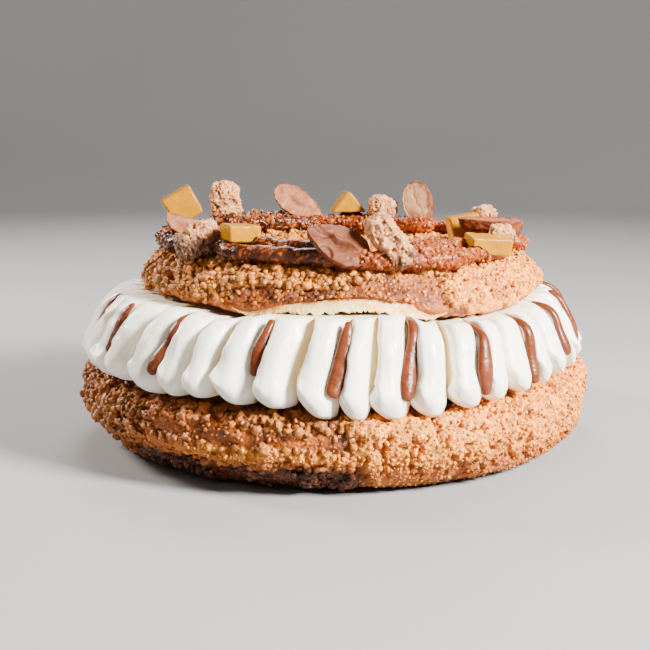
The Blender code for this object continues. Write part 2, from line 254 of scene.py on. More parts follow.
def rim_wave(angle):
    """Height of the top half's rim over its level, in metres."""
    knots = RIM_WAVE
    count = len(knots)
    angle = (angle - knots[0][0]) % 360.0 + knots[0][0]
    for number in range(count):
        start, low = knots[number]
        end, high = knots[(number + 1) % count]
        end += 360.0 if number == count - 1 else 0.0
        if start <= angle <= end:
            return MM * (low + (high - low) * between(angle, start, end))
    return 0.0


def deselect():
    for obj in bpy.context.selected_objects:
        obj.select_set(False)


def take(obj):
    """Makes the object the only selected one."""
    deselect()
    obj.select_set(True)
    bpy.context.view_layer.objects.active = obj


def finish_modifier(obj, kind, **settings):
    """Adds a modifier, sets it and applies it."""
    take(obj)
    made = obj.modifiers.new(kind.lower(), kind)
    for name, value in settings.items():
        setattr(made, name, value)
    bpy.ops.object.modifier_apply(modifier=made.name)


def settle(obj, name, finish, replaced=None):
    """Names the finished piece, gives it its finish and ties it to the frame."""
    obj.name = obj.data.name = name
    obj.data.materials.clear()
    obj.data.materials.append(finish)
    obj.data.shade_smooth()
    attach(obj, BODY)
    if replaced:
        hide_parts(replaced)


def store(mesh, name, values):
    """Keeps one number for each vertex, for the material to read."""
    layer = mesh.attributes.get(name) or mesh.attributes.new(name, "FLOAT", "POINT")
    layer.data.foreach_set("value", values)


def surface_tree(obj):
    """The object's surface, ready for rays to meet."""
    mesh = obj.data
    mesh.calc_loop_triangles()
    points = [vertex.co.copy() for vertex in mesh.vertices]
    return BVHTree.FromPolygons(points, [tuple(face.vertices) for face in mesh.loop_triangles])


def new_ring(steps, rows):
    """A ring rolled up from a grid, and each vertex's (step round the ring, row across it). Rows run from
    the outer side up, over the top and down inside."""
    deselect()
    bpy.ops.mesh.primitive_grid_add(x_subdivisions=steps, y_subdivisions=rows, size=1.0)
    ring = bpy.context.object
    for vertex in ring.data.vertices:
        around, across = 2 * math.pi * (vertex.co.x + 0.5), 2 * math.pi * (vertex.co.y + 0.5)
        reach = RING_MIDDLE + TUBE_RADIUS * math.cos(across)
        vertex.co = (reach * math.cos(around), reach * math.sin(around), TUBE_RADIUS * math.sin(across))
    bpy.ops.object.mode_set(mode="EDIT")
    bpy.ops.mesh.select_all(action="SELECT")
    bpy.ops.mesh.remove_doubles(threshold=MERGE_DISTANCE)
    bpy.ops.object.mode_set(mode="OBJECT")
    places = []
    for vertex in ring.data.vertices:
        x, y, z = vertex.co
        around = math.atan2(y, x) / (2 * math.pi)
        across = math.atan2(z, math.hypot(x, y) - RING_MIDDLE) / (2 * math.pi)
        places.append((round(around * steps) % steps, round(across * rows) % rows))
    return ring, places


def core_rays(core, rows):
    """Rays out of a ring's core as (radius, height, slope), from below its outer side round to its bottom."""
    near, far, height = core
    outer, top, inner, bottom = rows
    rays = [(far, height, math.pi * ((n + 0.5) / outer - 0.5)) for n in range(outer)]
    rays += [(far + (near - far) * (n + 0.5) / top, height, math.pi / 2) for n in range(top)]
    rays += [(near, height, math.pi * ((n + 0.5) / inner + 0.5)) for n in range(inner)]
    rays += [(near + (far - near) * (n + 0.5) / bottom, height, 1.5 * math.pi) for n in range(bottom)]
    return rays


def wrapped_ring(node, core, rows, steps, smoothing):
    """A fine ring laid over a CAD ring, with the corners of its facets smoothed away."""
    rays = core_rays(core, rows)
    tree = surface_tree(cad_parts[node])
    ring, places = new_ring(steps, len(rays))
    for vertex, (step, row) in zip(ring.data.vertices, places):
        radius, height, slope = rays[row]
        angle = 360.0 * step / steps
        start = on_ring(angle, radius, height)
        outward = on_ring(angle, math.cos(slope), math.sin(slope))
        vertex.co = tree.ray_cast(start, outward)[0]
    finish_modifier(ring, "SMOOTH", factor=0.5, iterations=smoothing)
    return ring


def inside_box(point):
    """The point, or the nearest one that is inside the frame's box."""
    low, high = CAD_BOX
    return Vector([min(max(c, a), b) for c, a, b in zip(point, low, high)])


# ---------------------------------------------------------------- finishes


class Finish:
    """A material being wired up, one node at a time."""

    def __init__(self, name):
        self.material = bpy.data.materials.new(name)
        self.material.use_nodes = True
        self.tree = self.material.node_tree
        self.shader = self.tree.nodes["Principled BSDF"]
        self.place = self.tree.nodes.new("ShaderNodeTexCoord").outputs["Object"]

    def feed(self, socket, value):
        """Links another node's output to the socket, or sets it to a plain value."""
        if isinstance(value, bpy.types.NodeSocket):
            self.tree.links.new(value, socket)
        elif value is not None:
            socket.default_value = (*value, 1.0) if socket.type == "RGBA" and len(value) == 3 else value

    def set(self, **values):
        """Sets or feeds the shader's own sockets; an underscore stands for a space."""
        for name, value in values.items():
            self.feed(self.shader.inputs[name.replace("_", " ")], value)

    def add(self, kind, feeds, **settings):
        node = self.tree.nodes.new("ShaderNode" + kind)
        for name, value in settings.items():
            setattr(node, name, value)
        for socket, value in feeds.items():
            self.feed(node.inputs[socket], value)
        return node

    def stretched(self, upward):
        """Places on the piece, with patterns drawn out upward where the number is below 1."""
        feeds = {"Vector": self.place, "Scale": (1, 1, upward)}
        return self.add("Mapping", feeds).outputs["Vector"]

    def noise(self, size, detail=3.0, roughness=0.55, distortion=0.0, vector=None):
        """Cloudy noise whose features are about that size in metres."""
        feeds = {"Vector": vector or self.place, "Scale": 1 / size, "Detail": detail}
        feeds.update({"Roughness": roughness, "Distortion": distortion})
        return self.add("TexNoise", feeds).outputs["Fac"]

    def cells(self, size):
        """Distance from the middle of a cell; cells are about that size in metres."""
        return self.add("TexVoronoi", {"Vector": self.place, "Scale": 1 / size}).outputs["Distance"]

    def attribute(self, name):
        return self.add("Attribute", {}, attribute_name=name).outputs["Fac"]

    def ramp(self, value, low, high, start=0.0, end=1.0):
        feeds = {"Value": value, "From Min": low, "From Max": high, "To Min": start, "To Max": end}
        return self.add("MapRange", feeds, interpolation_type="SMOOTHSTEP").outputs["Result"]

    def maths(self, operation, first, second):
        node = self.tree.nodes.new("ShaderNodeMath")
        node.operation = operation
        self.feed(node.inputs[0], first)
        self.feed(node.inputs[1], second)
        return node.outputs["Value"]

    def mixed(self, share, first, second):
        return self.add("MixRGB", {"Fac": share, "Color1": first, "Color2": second}).outputs["Color"]

    def bump(self, height, depth, below=None):
        feeds = {"Height": height, "Distance": depth, "Normal": below}
        return self.add("Bump", feeds).outputs["Normal"]


def crust_finish(name, look):
    """Craquelin: sugary grains over brown choux. Cover is 1 on the grains. The pit mark is 1 in a deep pit, a
    pore and under a grain,
    and paints it dark: partly the dark choux showing, partly painted shade. The darkening mark is 1 where the
    crust is darker:
    partly baked browner, partly painted shade under the front, next to the table and in a patch at the front
    left. The shade mark is a tone that differs at random from grain to grain."""
    f = Finish(name)
    cover, crevice_dark_and_shade, toast_and_shade, shade = (f.attribute(a) for a in ("cover", "crevice_dark_and_shade", "toast_and_shade", "shade"))
    sandy = f.attribute("sandy")
    grains = f.mixed(sandy, look.crust_tan, look.crust_sand)
    grains = f.mixed(f.ramp(shade, -0.5, 0.6), f.mixed(0.55, grains, look.crust_dark_and_shade), grains)
    grains = f.mixed(f.ramp(f.noise(0.0011, 4), 0.56, 0.74, 0.0, 0.7), grains, look.crust_pale)
    bare = f.mixed(f.ramp(f.noise(0.006, 4), 0.40, 0.72), look.bare_brown, look.bare_orange)
    bare = f.mixed(f.ramp(f.noise(0.0012, 3), 0.55, 0.7, 0.0, 0.6), bare, look.crust_dark_and_shade)
    colour = f.mixed(cover, bare, grains)
    # In pits and under grains the colour goes dark brown, orange on the sandy side: partly choux showing
    # through, partly painted shade
    crevice_colour_and_shade = f.mixed(f.ramp(sandy, 0.2, 0.8, 0.0, 0.8), look.crust_dark_and_shade, look.pit_orange)
    colour = f.mixed(f.ramp(crevice_dark_and_shade, 0.25, 0.9, 0.0, 0.88), colour, crevice_colour_and_shade)
    baked = f.mixed(f.ramp(f.noise(0.004, 4), 0.35, 0.7), look.underside, look.bare_brown)
    baked = f.mixed(f.ramp(f.noise(0.0013, 3), 0.56, 0.68, 0.0, 0.75), baked, look.crust_toasted)
    # Where the darkening mark is high the crust turns browner, then takes the dark underside colour: partly
    # baked colour, partly painted shade
    colour = f.mixed(f.ramp(toast_and_shade, 0.0, 0.45, 0.0, 0.75), colour, look.crust_toasted)
    colour = f.mixed(f.ramp(toast_and_shade, 0.40, 1.0), colour, baked)
    gloss = f.maths("ADD", f.ramp(cover, 0, 1, 0.28, 0.32), f.ramp(f.noise(0.0016, 3), 0.3, 0.7, -0.08, 0.14))
    rough = f.maths("ADD", gloss, f.ramp(sandy, 0, 1, 0.0, 0.18))
    fine = f.bump(f.noise(0.0005, 3, 0.7), 0.00022)
    coarse = f.bump(f.cells(0.0011), 0.00035, fine)
    f.set(Base_Color=colour, Roughness=rough, Normal=coarse, Specular_IOR_Level=0.32)
    return f.material


def cream_finish(look):
    """Whipped cream: warm white, satin, light passes a few millimetres into it."""
    f = Finish("whipped_cream")
    groove_shade = f.attribute("groove_shade")
    tint = f.ramp(f.noise(0.012, 3), 0.35, 0.7)
    colour = f.mixed(tint, look.cream, look.cream_warm)
    # Deep in the grooves the cream is painted darker and yellower: painted shade with warm bounced light
    colour = f.mixed(f.ramp(groove_shade, 0.35, 1.0, 0.0, 0.9), colour, look.cream_groove_shade)
    rough = f.ramp(f.noise(0.003, 3), 0.3, 0.7, 0.24, 0.42)
    pores = f.bump(f.noise(0.0007, 2, 0.6), 0.00004)
    streaks = f.bump(f.noise(0.0045, 2, 0.5, 0.4, f.stretched(0.5)), 0.0004, pores)
    f.set(Base_Color=colour, Roughness=rough, Normal=streaks, Subsurface_Weight=0.3, Subsurface_Scale=0.0016)
    f.set(Subsurface_Radius=(1.0, 0.8, 0.5), Specular_IOR_Level=0.4)
    return f.material


def chocolate_finish(look):
    """Milk chocolate sauce that has set, with a soft sheen."""
    f = Finish("milk_chocolate_sauce")
    tint = f.ramp(f.noise(0.004, 3), 0.35, 0.7)
    colour = f.mixed(tint, look.chocolate, look.chocolate_light)
    rough = f.ramp(f.noise(0.002, 3), 0.3, 0.7, 0.24, 0.38)
    f.set(Base_Color=colour, Roughness=rough, Normal=f.bump(f.noise(0.0022, 3), 0.0003))
    f.set(Specular_IOR_Level=0.24)
    return f.material


def praline_finish(look):
    """Nut praline: sticky caramel full of chopped nut."""
    f = Finish("nut_praline")
    tone, bits = f.attribute("tone"), f.attribute("bits")
    caramel = f.mixed(tone, look.praline_dark, look.praline_light)
    darker = f.mixed(0.5, caramel, look.praline_dark)
    caramel = f.mixed(f.ramp(f.noise(0.002, 4), 0.35, 0.65), darker, caramel)
    nuts = f.mixed(f.ramp(f.noise(0.0012, 3), 0.4, 0.6), look.nut, look.praline_light)
    colour = f.mixed(f.ramp(bits, 0.45, 0.9, 0.0, 0.75), caramel, nuts)
    rough = f.ramp(f.noise(0.0018, 3), 0.3, 0.7, 0.16, 0.32)
    fine = f.bump(f.noise(0.0012, 3, 0.6), 0.00035)
    f.set(Base_Color=colour, Roughness=rough, Normal=fine, Specular_IOR_Level=0.28)
    return f.material


def mango_finish(look):
    """Ripe mango flesh: moist, with light in it and fine fibres."""
    f = Finish("mango_flesh")
    fibres = f.noise(0.0016, 3, 0.5, 0.8, f.stretched(0.35))
    patches = f.ramp(f.noise(0.004, 3), 0.35, 0.68)
    colour = f.mixed(patches, look.mango, look.mango_deep)
    colour = f.mixed(f.ramp(fibres, 0.52, 0.75, 0.0, 0.10), colour, look.mango_fibre)
    rough = f.ramp(f.noise(0.0015, 3), 0.3, 0.7, 0.14, 0.28)
    wet = f.bump(f.noise(0.0010, 3), 0.00008)
    f.set(Base_Color=colour, Roughness=rough, Normal=f.bump(fibres, 0.00004, wet), Subsurface_Weight=0.15)
    f.set(Subsurface_Scale=0.0020, Subsurface_Radius=(1.0, 0.45, 0.02), Specular_IOR_Level=0.10)
    return f.material


def almond_finish(look):
    """A split roasted almond: wrinkled brown skin round a pale, grainy cut face."""
    f = Finish("split_almond")
    flesh, streak = f.attribute("flesh"), f.attribute("streak")
    skin = f.mixed(f.ramp(streak, -0.4, 0.5), look.skin_dark, look.skin)
    skin = f.mixed(f.ramp(f.noise(0.0009, 4), 0.5, 0.75, 0.0, 0.5), skin, look.skin_pale)
    cut = f.mixed(f.ramp(f.noise(0.003, 4), 0.35, 0.7), look.flesh, look.flesh_toasted)
    # A paler cut face: partly paler flesh, partly painted light where a face gets little light
    cut = f.mixed(f.attribute("pale"), cut, look.flesh_pale_and_lit)
    cut = f.mixed(f.attribute("hollow"), cut, look.skin_dark)
    colour = f.mixed(flesh, skin, cut)
    colour = f.mixed(f.attribute("roast"), colour, f.mixed(0.72, colour, look.skin_dark))
    rough = f.maths("ADD", f.ramp(f.noise(0.0012, 3), 0.3, 0.7, 0.36, 0.5), f.ramp(flesh, 0, 1, 0.0, 0.08))
    grain = f.bump(f.noise(0.0006, 4, 0.65), 0.00012)
    f.set(Base_Color=colour, Roughness=rough, Normal=grain, Specular_IOR_Level=0.22)
    return f.material


def crumble_finish(look):
    """Baked crumble: floury, rough and uneven."""
    f = Finish("baked_crumble")
    crevice_dark_and_shade, soaked = f.attribute("crevice_dark_and_shade"), f.attribute("soaked")
    colour = f.mixed(f.ramp(f.noise(0.0028, 4), 0.35, 0.68), look.crumble, look.crumble_toasted)
    colour = f.mixed(f.ramp(f.noise(0.0008, 3), 0.55, 0.72, 0.0, 0.8), colour, look.crumble_pale)
    # Hollows are painted darker: painted shade
    colour = f.mixed(f.ramp(crevice_dark_and_shade, 0.3, 1.0, 0.0, 0.7), colour, look.crust_dark_and_shade)
    colour = f.mixed(soaked, colour, look.praline_dark)
    rough = f.maths("SUBTRACT", 0.78, f.ramp(soaked, 0, 1, 0.0, 0.45))
    fine = f.bump(f.noise(0.0004, 3, 0.7), 0.00025)
    f.set(Base_Color=colour, Roughness=rough, Normal=f.bump(f.cells(0.0009), 0.0003, fine))
    return f.material


def flap_finish(look):
    """The thin, pale skin of torn choux."""
    f = Finish("torn_choux")
    colour = f.mixed(f.ramp(f.noise(0.003, 4), 0.35, 0.65), look.flap, look.flap_warm)
    browned = f.maths("MULTIPLY", f.attribute("toast_and_shade"), f.ramp(f.noise(0.0014, 4), 0.32, 0.62, 0.35, 1.0))
    colour = f.mixed(browned, colour, look.bare_orange)
    rough = f.ramp(f.noise(0.002, 3), 0.3, 0.7, 0.4, 0.6)
    f.set(Base_Color=colour, Roughness=rough, Normal=f.bump(f.noise(0.0009, 4), 0.0003))
    f.set(Subsurface_Weight=0.4, Subsurface_Scale=0.0015, Subsurface_Radius=(1.0, 0.7, 0.35))
    return f.material


def floor_finish(look):
    """Plain, pale and dull."""
    f = Finish("pale_floor")
    colour = f.mixed(f.ramp(f.noise(0.35, 2), 0.3, 0.7), look.floor, tuple(0.985 * c for c in look.floor))
    f.set(Base_Color=colour, Roughness=0.6, Specular_IOR_Level=0.2)
    return f.material


# ---------------------------------------------------------------- what a user can change


def length(name, description, default):
    return FloatProperty(name=name, description=description, default=default, min=0.0, subtype="DISTANCE",
                         unit="LENGTH", precision=5)


def colour(name, description, default):
    return FloatVectorProperty(name=name, description=description, default=default, size=3, min=0.0, max=1.0,
                               subtype="COLOR")


class PastrySizes(bpy.types.PropertyGroup):
    """Sizes of the crust, the piping and the sauce."""

    grain: length("Coarse grain", "Width of a grain of the coarse crust", 0.0023)
    fine_grain: length("Fine grain", "Width of a grain of the sandy crust", 0.00115)
    groove: length("Groove depth", "How deep the cream's grooves are", 0.0052)
    foot_rise: length("Foot rise", "How much a lobe's foot rounds up at its leading side", 0.0058)
    drip_width: length("Drip width", "Width of a drip of sauce near its end", 0.0054)
    flap_thickness: length("Torn edge thickness", "Thickness of the torn skin under the top half", 0.0005)
    crumbs: IntProperty(name="Crumbs", description="Loose crumbs on the top half", default=150, min=0)
    nut_bits: IntProperty(name="Nut bits", description="Bits of nut in the praline", default=2600, min=0)


class PastryLook(bpy.types.PropertyGroup):
    """Colours of the finishes."""

    crust_tan: colour("Crust", "Coarse craquelin crust", (0.43, 0.132, 0.020))
    crust_sand: colour("Sandy crust", "Fine craquelin crust", (0.95, 0.32, 0.025))
    crust_pale: colour("Sugar", "Pale sugar grains in the crust", (0.97, 0.50, 0.15))
    pit_orange: colour("Pits", "Shallow pits in the sandy crust", (0.42, 0.095, 0.014))
    crust_toasted: colour("Toasted crust", "Where the crust baked browner", (0.36, 0.085, 0.010))
    # Dark baked choux, also used as painted shade in crevices and hollows
    crust_dark_and_shade: colour("Crevice", "Deep, dark baked crevices", (0.040, 0.009, 0.002))
    bare_brown: colour("Bare choux", "Choux that the crust leaves bare", (0.105, 0.023, 0.005))
    bare_orange: colour("Glossy choux", "Light, glossy bare choux", (0.56, 0.135, 0.010))
    # Dark underside: partly baked colour, partly painted shade
    underside: colour("Underside", "Dark baked underside", (0.030, 0.009, 0.002))
    cream: colour("Cream", "Whipped cream", (0.94, 0.90, 0.81))
    cream_warm: colour("Warm cream", "Cream's warmer patches", (0.93, 0.87, 0.74))
    # Painted shade with warm bounced light, deep in the cream's grooves
    cream_groove_shade: colour("Cream crease", "Cream deep in its grooves", (0.86, 0.66, 0.30))
    chocolate: colour("Chocolate", "Milk chocolate sauce", (0.100, 0.021, 0.006))
    chocolate_light: colour("Light chocolate", "Paler streaks of the sauce", (0.140, 0.033, 0.010))
    praline_dark: colour("Dark praline", "Dark caramel", (0.032, 0.006, 0.002))
    praline_light: colour("Light praline", "Light caramel", (0.27, 0.048, 0.004))
    nut: colour("Nut", "Chopped nut", (0.42, 0.115, 0.022))
    mango: colour("Mango", "Mango flesh", (0.36, 0.156, 0.0))
    mango_deep: colour("Deep mango", "Riper patches", (0.32, 0.125, 0.0))
    mango_fibre: colour("Mango fibre", "Light fibres", (0.48, 0.23, 0.0))
    skin: colour("Nut skin", "Almond skin", (0.26, 0.055, 0.018))
    skin_dark: colour("Dark nut skin", "Wrinkles of the skin", (0.060, 0.012, 0.004))
    skin_pale: colour("Pale nut skin", "Worn skin", (0.55, 0.135, 0.050))
    flesh: colour("Nut flesh", "Cut face of an almond", (0.34, 0.125, 0.044))
    # Partly paler flesh, partly painted light for a cut face that gets little light
    flesh_pale_and_lit: colour("Pale flesh", "The palest cut faces", (0.80, 0.47, 0.25))
    flesh_toasted: colour("Toasted flesh", "Toasted middle of a cut face", (0.23, 0.070, 0.028))
    crumble: colour("Crumble", "Baked crumble", (0.62, 0.275, 0.100))
    crumble_toasted: colour("Toasted crumble", "Browner crumble", (0.36, 0.120, 0.036))
    crumble_pale: colour("Floury crumble", "Floury specks", (0.92, 0.60, 0.33))
    flap: colour("Torn choux", "Pale torn skin", (0.93, 0.74, 0.34))
    flap_warm: colour("Warm torn choux", "Its toasted patches", (0.86, 0.50, 0.14))
    floor: colour("Floor", "The floor", (0.29, 0.288, 0.285))


def sizes():
    return bpy.context.scene.pastry_sizes


def look():
    return bpy.context.scene.pastry_look


# ---------------------------------------------------------------- crusts


APART = Vector((31.7, -12.3, 8.9))  # keeps one pattern away from another
CRUST_MARKS = ("cover", "crevice_dark_and_shade", "toast_and_shade", "shade", "sandy")
CLUMP = 6.2  # sizes in millimetres: a clump of coarse grains, and a plate of sandy crust
PLATE = 7.0


def packed_grains(spot, size):
    """How high the grain at a spot stands, 0 to 1, and the grain's middle. Spots and sizes in millimetres."""
    distances, middles = noise.voronoi(spot / size)
    top = max(0.0, 1.0 - (distances[0] / 0.82) ** 2)
    gap = between(distances[1] - distances[0], 0.0, 0.20)
    return top * (0.5 + 0.5 * gap), middles[0] * size


def coarse_crust(spot, size):
    """Height in millimetres of clumped sugary grains, and the middle of the grain here."""
    top, home = packed_grains(spot, size)
    distances, middles = noise.voronoi(home / CLUMP + APART)
    gap = 1 - between(distances[1] - distances[0], 0.03, 0.20)
    lump = 0.8 * noise.noise(middles[0] * 2.7) + 0.6 * noise.noise(home / 3.1 + APART)
    pit = 1 - between(lump, -0.42, -0.15)
    return 0.95 * lump + 0.9 * (top - 0.6) - 1.3 * max(pit, 0.9 * gap) + 0.15, home


def sandy_crust(spot, size):
    """Height in millimetres of fine, flat crust broken into plates, and the middle of the grain here."""
    top, home = packed_grains(spot, size)
    distances, middles = noise.voronoi(spot / PLATE + APART)
    crack = 1 - between(distances[1] - distances[0], 0.02, 0.14)
    crack *= between(noise.noise(spot / 9.0 - APART), -0.16, 0.06)
    hole = between(noise.noise(spot / 2.6 + APART), 0.26, 0.40)
    plate = noise.noise(middles[0] * 3.3)
    height = 0.32 * (top - 0.6) + 0.6 * noise.noise(spot / 3.6) + 1.0 * plate
    return height - 2.0 * max(crack, 0.9 * hole) + 0.2, home


def lay_crust(ring, recipe):
    """Pushes a ring's surface out and in as its crust stands, and marks it for the crust's finish. The recipe
    says how sandy and bare a place is, how dark it is (baked browner, and in places painted shade), and how
    much of the relief shows there."""
    mesh = ring.data
    marks = {name: [] for name in CRUST_MARKS}
    grain, fine_grain = sizes().grain / MM, sizes().fine_grain / MM
    normals = [normal.vector.copy() for normal in mesh.vertex_normals]
    for vertex, normal in zip(mesh.vertices, normals):
        spot = vertex.co / MM
        sandy, bare, toast_and_shade, strength, rise = recipe(vertex.co)
        spot += 1.1 * noise.noise_vector(spot / 6.0) + 0.4 * noise.noise_vector(spot / 1.9)
        coarse, home = coarse_crust(spot, grain)
        shade = 2.2 * noise.noise(home * 0.91 + APART)
        height = coarse
        if sandy > 0.0:
            fine, fine_home = sandy_crust(spot, fine_grain)
            height += (fine - coarse) * sandy
            shade += (2.2 * noise.noise(fine_home * 1.3) - shade) * sandy
        missing = bare + 0.9 * noise.noise(home / 9.0 - APART) + 0.35 * noise.noise(home / 3.5)
        cover = 1 - between(missing, 0.44, 0.56)
        pores = between(noise.noise(spot / 0.95 + APART), 0.18, 0.38) * between(sandy, 0.0, 0.25)
        skin = -1.5 + 0.9 * noise.noise(spot / 5.0) + 0.25 * noise.noise(spot / 1.4) - 0.7 * pores
        height = skin + (height + rise - skin) * cover
        height *= strength
        # Deep places and bare pores are marked to be painted dark: partly the dark choux showing, partly
        # painted shade
        crevice_dark_and_shade = max(between(-height, 0.35, 1.9) * (0.3 + 0.7 * cover), pores * (1 - cover))
        sunk = 0.35 + 0.60 * (1 - sandy) * cover * strength
        vertex.co = inside_box(vertex.co + normal * ((height - sunk) * MM))
        for name, value in zip(marks, (cover, crevice_dark_and_shade, toast_and_shade, shade, sandy)):
            marks[name].append(value)
    for name, values in marks.items():
        store(mesh, name, values)


def new_grain(fine):
    """One grain, to be copied over and over: a few flat sides are enough at its size."""
    deselect()
    if fine:
        bpy.ops.mesh.primitive_ico_sphere_add(subdivisions=1, radius=1.0)
        return bpy.context.object
    bpy.ops.mesh.primitive_cube_add(size=2.0)
    grain = bpy.context.object
    bpy.ops.object.mode_set(mode="EDIT")
    bpy.ops.mesh.select_all(action="SELECT")
    bpy.ops.mesh.subdivide(number_cuts=1)
    bpy.ops.object.mode_set(mode="OBJECT")
    for vertex in grain.data.vertices:
        vertex.co.normalize()
    return grain


def spread(ring, spacing, chance, wanted):
    """Numbers of vertices of the ring, picked at random among the wanted, none nearer another than the
    spacing."""
    order = [vertex.index for vertex in ring.data.vertices if wanted(vertex)]
    chance.shuffle(order)
    taken, picked = {}, []
    steps = [(x, y, z) for x in (-1, 0, 1) for y in (-1, 0, 1) for z in (-1, 0, 1)]
    for index in order:
        place = ring.data.vertices[index].co
        cell = [math.floor(c / spacing) for c in place]
        cells = [tuple(c + d for c, d in zip(cell, step)) for step in steps]
        near = [other for around in cells for other in taken.get(around, ())]
        if all((place - other).length > spacing for other in near):
            taken.setdefault(tuple(cell), []).append(place)
            picked.append(index)
    return picked


def strew(name, ring, picked, grain, width, rise, chance, carried, finish):
    """Lays a copy of the grain, turned and lumpy, at each picked vertex of the ring, as one piece. Rise is
    how far it stands out, as a share of its size. It carries over the named marks of the ring."""
    marks = {mark: [] for mark in ("crevice_dark_and_shade", "shade", "cover", *carried)}
    layers = {mark: ring.data.attributes[mark].data for mark in carried}
    normals = ring.data.vertex_normals
    corners = [vertex.co.copy() for vertex in grain.data.vertices]
    sides = [tuple(face.vertices) for face in grain.data.polygons]
    points, faces = [], []
    for index in picked:
        middle, normal = ring.data.vertices[index].co, normals[index].vector
        clump = 1 + 0.25 * noise.noise(middle / 0.006 + APART)
        size = width * clump * chance.uniform(*GRAIN_SIZES) / 2
        stretch = [chance.uniform(0.8, 1.5), chance.uniform(0.7, 1.2), chance.uniform(0.6, 1.0)]
        turn = normal.to_track_quat("Z", "Y").to_matrix()
        turn = turn @ Matrix.Rotation(chance.uniform(0, 2 * math.pi), 3, "Z")
        turn = turn @ Matrix.Rotation(chance.uniform(-0.4, 0.4), 3, "X")
        seed = Vector((chance.uniform(0, 90), chance.uniform(0, 90), chance.uniform(0, 90)))
        shade = chance.uniform(-0.6, 0.6) + 0.5 * noise.noise(middle / 0.008)
        start = len(points)
        for corner in corners:
            lump = size * (1.05 + 0.85 * noise.noise(corner * 1.7 + seed))
            local = Vector([c * s * lump for c, s in zip(corner, stretch)])
            points.append(inside_box(middle + normal * (rise * size) + turn @ local))
            # Each grain's underside is painted dark: painted shade where it sits on the crust
            marks["crevice_dark_and_shade"].append(0.95 * between(-corner.z, -0.45, 0.55))
            marks["shade"].append(shade)
            marks["cover"].append(1.0)
            for mark in carried:
                marks[mark].append(layers[mark][index].value)
        faces += [[start + corner for corner in side] for side in sides]
    mesh = bpy.data.meshes.new(name)
    mesh.from_pydata(points, [], faces)
    piece = bpy.data.objects.new(name, mesh)
    bpy.context.scene.collection.objects.link(piece)
    for mark, values in marks.items():
        store(mesh, mark, values)
    bpy.data.objects.remove(grain)
    settle(piece, name, finish)


def strew_crust(ring, name, shows, chance):
    """Coarse grains where the crust is coarse and fine ones where it is sandy."""
    layers = {mark: ring.data.attributes[mark].data for mark in CRUST_MARKS}

    def wanted(vertex, sandy):
        index = vertex.index
        crevice_dark_and_shade = layers["crevice_dark_and_shade"][index].value
        if not shows(vertex.co) or crevice_dark_and_shade > (0.45 if sandy else 0.80):
            return False
        if layers["cover"][index].value < 0.5:
            return sandy and noise.noise(vertex.co / 0.0023) > 0.12
        share = layers["sandy"][index].value + 0.35 * noise.noise(vertex.co / 0.008)
        return (share > 0.5) == sandy

    finish = ring.data.materials[0]
    for sandy, kind, width, spacing, most, rise in (
        (False, "_grains_coarse", sizes().grain, COARSE_SPACING, MOST_COARSE, COARSE_RISE),
        (True, "_grains_fine", sizes().fine_grain, FINE_SPACING, MOST_FINE, FINE_RISE),
    ):
        picked = spread(ring, spacing * width, chance, lambda vertex: wanted(vertex, sandy))[:most]
        grain = new_grain(sandy)
        strew(name + kind, ring, picked, grain, width, rise, chance, ("toast_and_shade", "sandy"), finish)


def base_recipe(point):
    """At the front the crust broke away in a band: a ragged ledge stays above it and pale clumps below."""
    angle, radius = ring_place(point)
    height = point.z / MM + 1.4 * noise.noise(point / 0.007)
    outside = between(radius, 0.060, 0.070)
    sandy = between(point.x, -0.002, 0.014)
    torn = between(angle, -46, -34) * (1 - between(angle, 0, 10)) * outside
    band = hump(height, 18.4, 3.3) * (torn + 0.7 * hump(turned_from(angle, 150), 0, 30))
    ledge = between(height, 20.5, 22.5) * torn
    clumps = hump(height, 12.6, 2.2) * torn
    under = 1 - between(height, 7.5, 11.0)
    middle = between(angle, -62, -40) * (1 - between(angle, -4, 16))
    middle += 0.22 * between(math.cos(math.radians(angle)), 0, 1)
    # Darker towards the bottom: a dark underside at the front, a band next to the table and a browner lower
    # band; partly baked colour, partly painted shade
    toast_and_shade = 1.1 * under * min(1.0, middle) * (0.95 + 0.4 * noise.noise(point / 0.005))
    toast_and_shade = max(toast_and_shade, 0.80 * (1 - between(height, 1.0, 5.0)), 0.42 * (1 - between(height, 7.0, 14.5)))
    # A darker patch at the front left, near -36 degrees, is painted shade
    toast_and_shade = max(toast_and_shade, 0.33 * hump(angle, -36, 11) * between(height, 9.0, 13.0))
    strength = (0.25 + 0.75 * between(height, 0.5, 7.0)) * (0.5 + 0.5 * outside)
    sandy = max(sandy, 0.9 * clumps)
    bare = 1.25 * band + 0.45 * under * middle
    return sandy, bare, min(1.0, max(0.0, toast_and_shade)), strength, ledge + 0.5 * clumps


def lid_recipe(point):
    """The front of the rim is bare, porous choux."""
    angle, radius = ring_place(point - Vector((LID_CENTRE, 0, 0)))
    outside = between(radius, 0.053, 0.060)
    # At least 0.45 sandy all over: a paler, finer crust, which on the left side stands partly for light from
    # the upper left (painted light)
    sandy = max(0.45, between(point.x, 0.004, 0.022))
    top = 0.0602 + 0.0045 * between(angle, -6, 16) + 0.0012 * noise.noise(point / 0.006)
    porous = between(angle, -34, -27) * (1 - between(angle, 24, 31))
    porous *= 1 - between(point.z, top - 0.001, top + 0.001)
    under = 1 - between(point.z, LID_LOW + 0.0002, LID_LOW + 0.0016)
    toast_and_shade = 0.55 * (1 - between(point.z, 0.0520, 0.0560)) * outside * (1 - between(angle, 20, 40))
    strength = 1.0 - 0.55 * under
    ledge = 0.6 * hump(point.z, top + 0.0025, 0.002) * between(angle, -34, -27) * (1 - between(angle, 2, 10))
    return sandy, 1.3 * porous * outside + 0.25 * under, toast_and_shade, strength, ledge


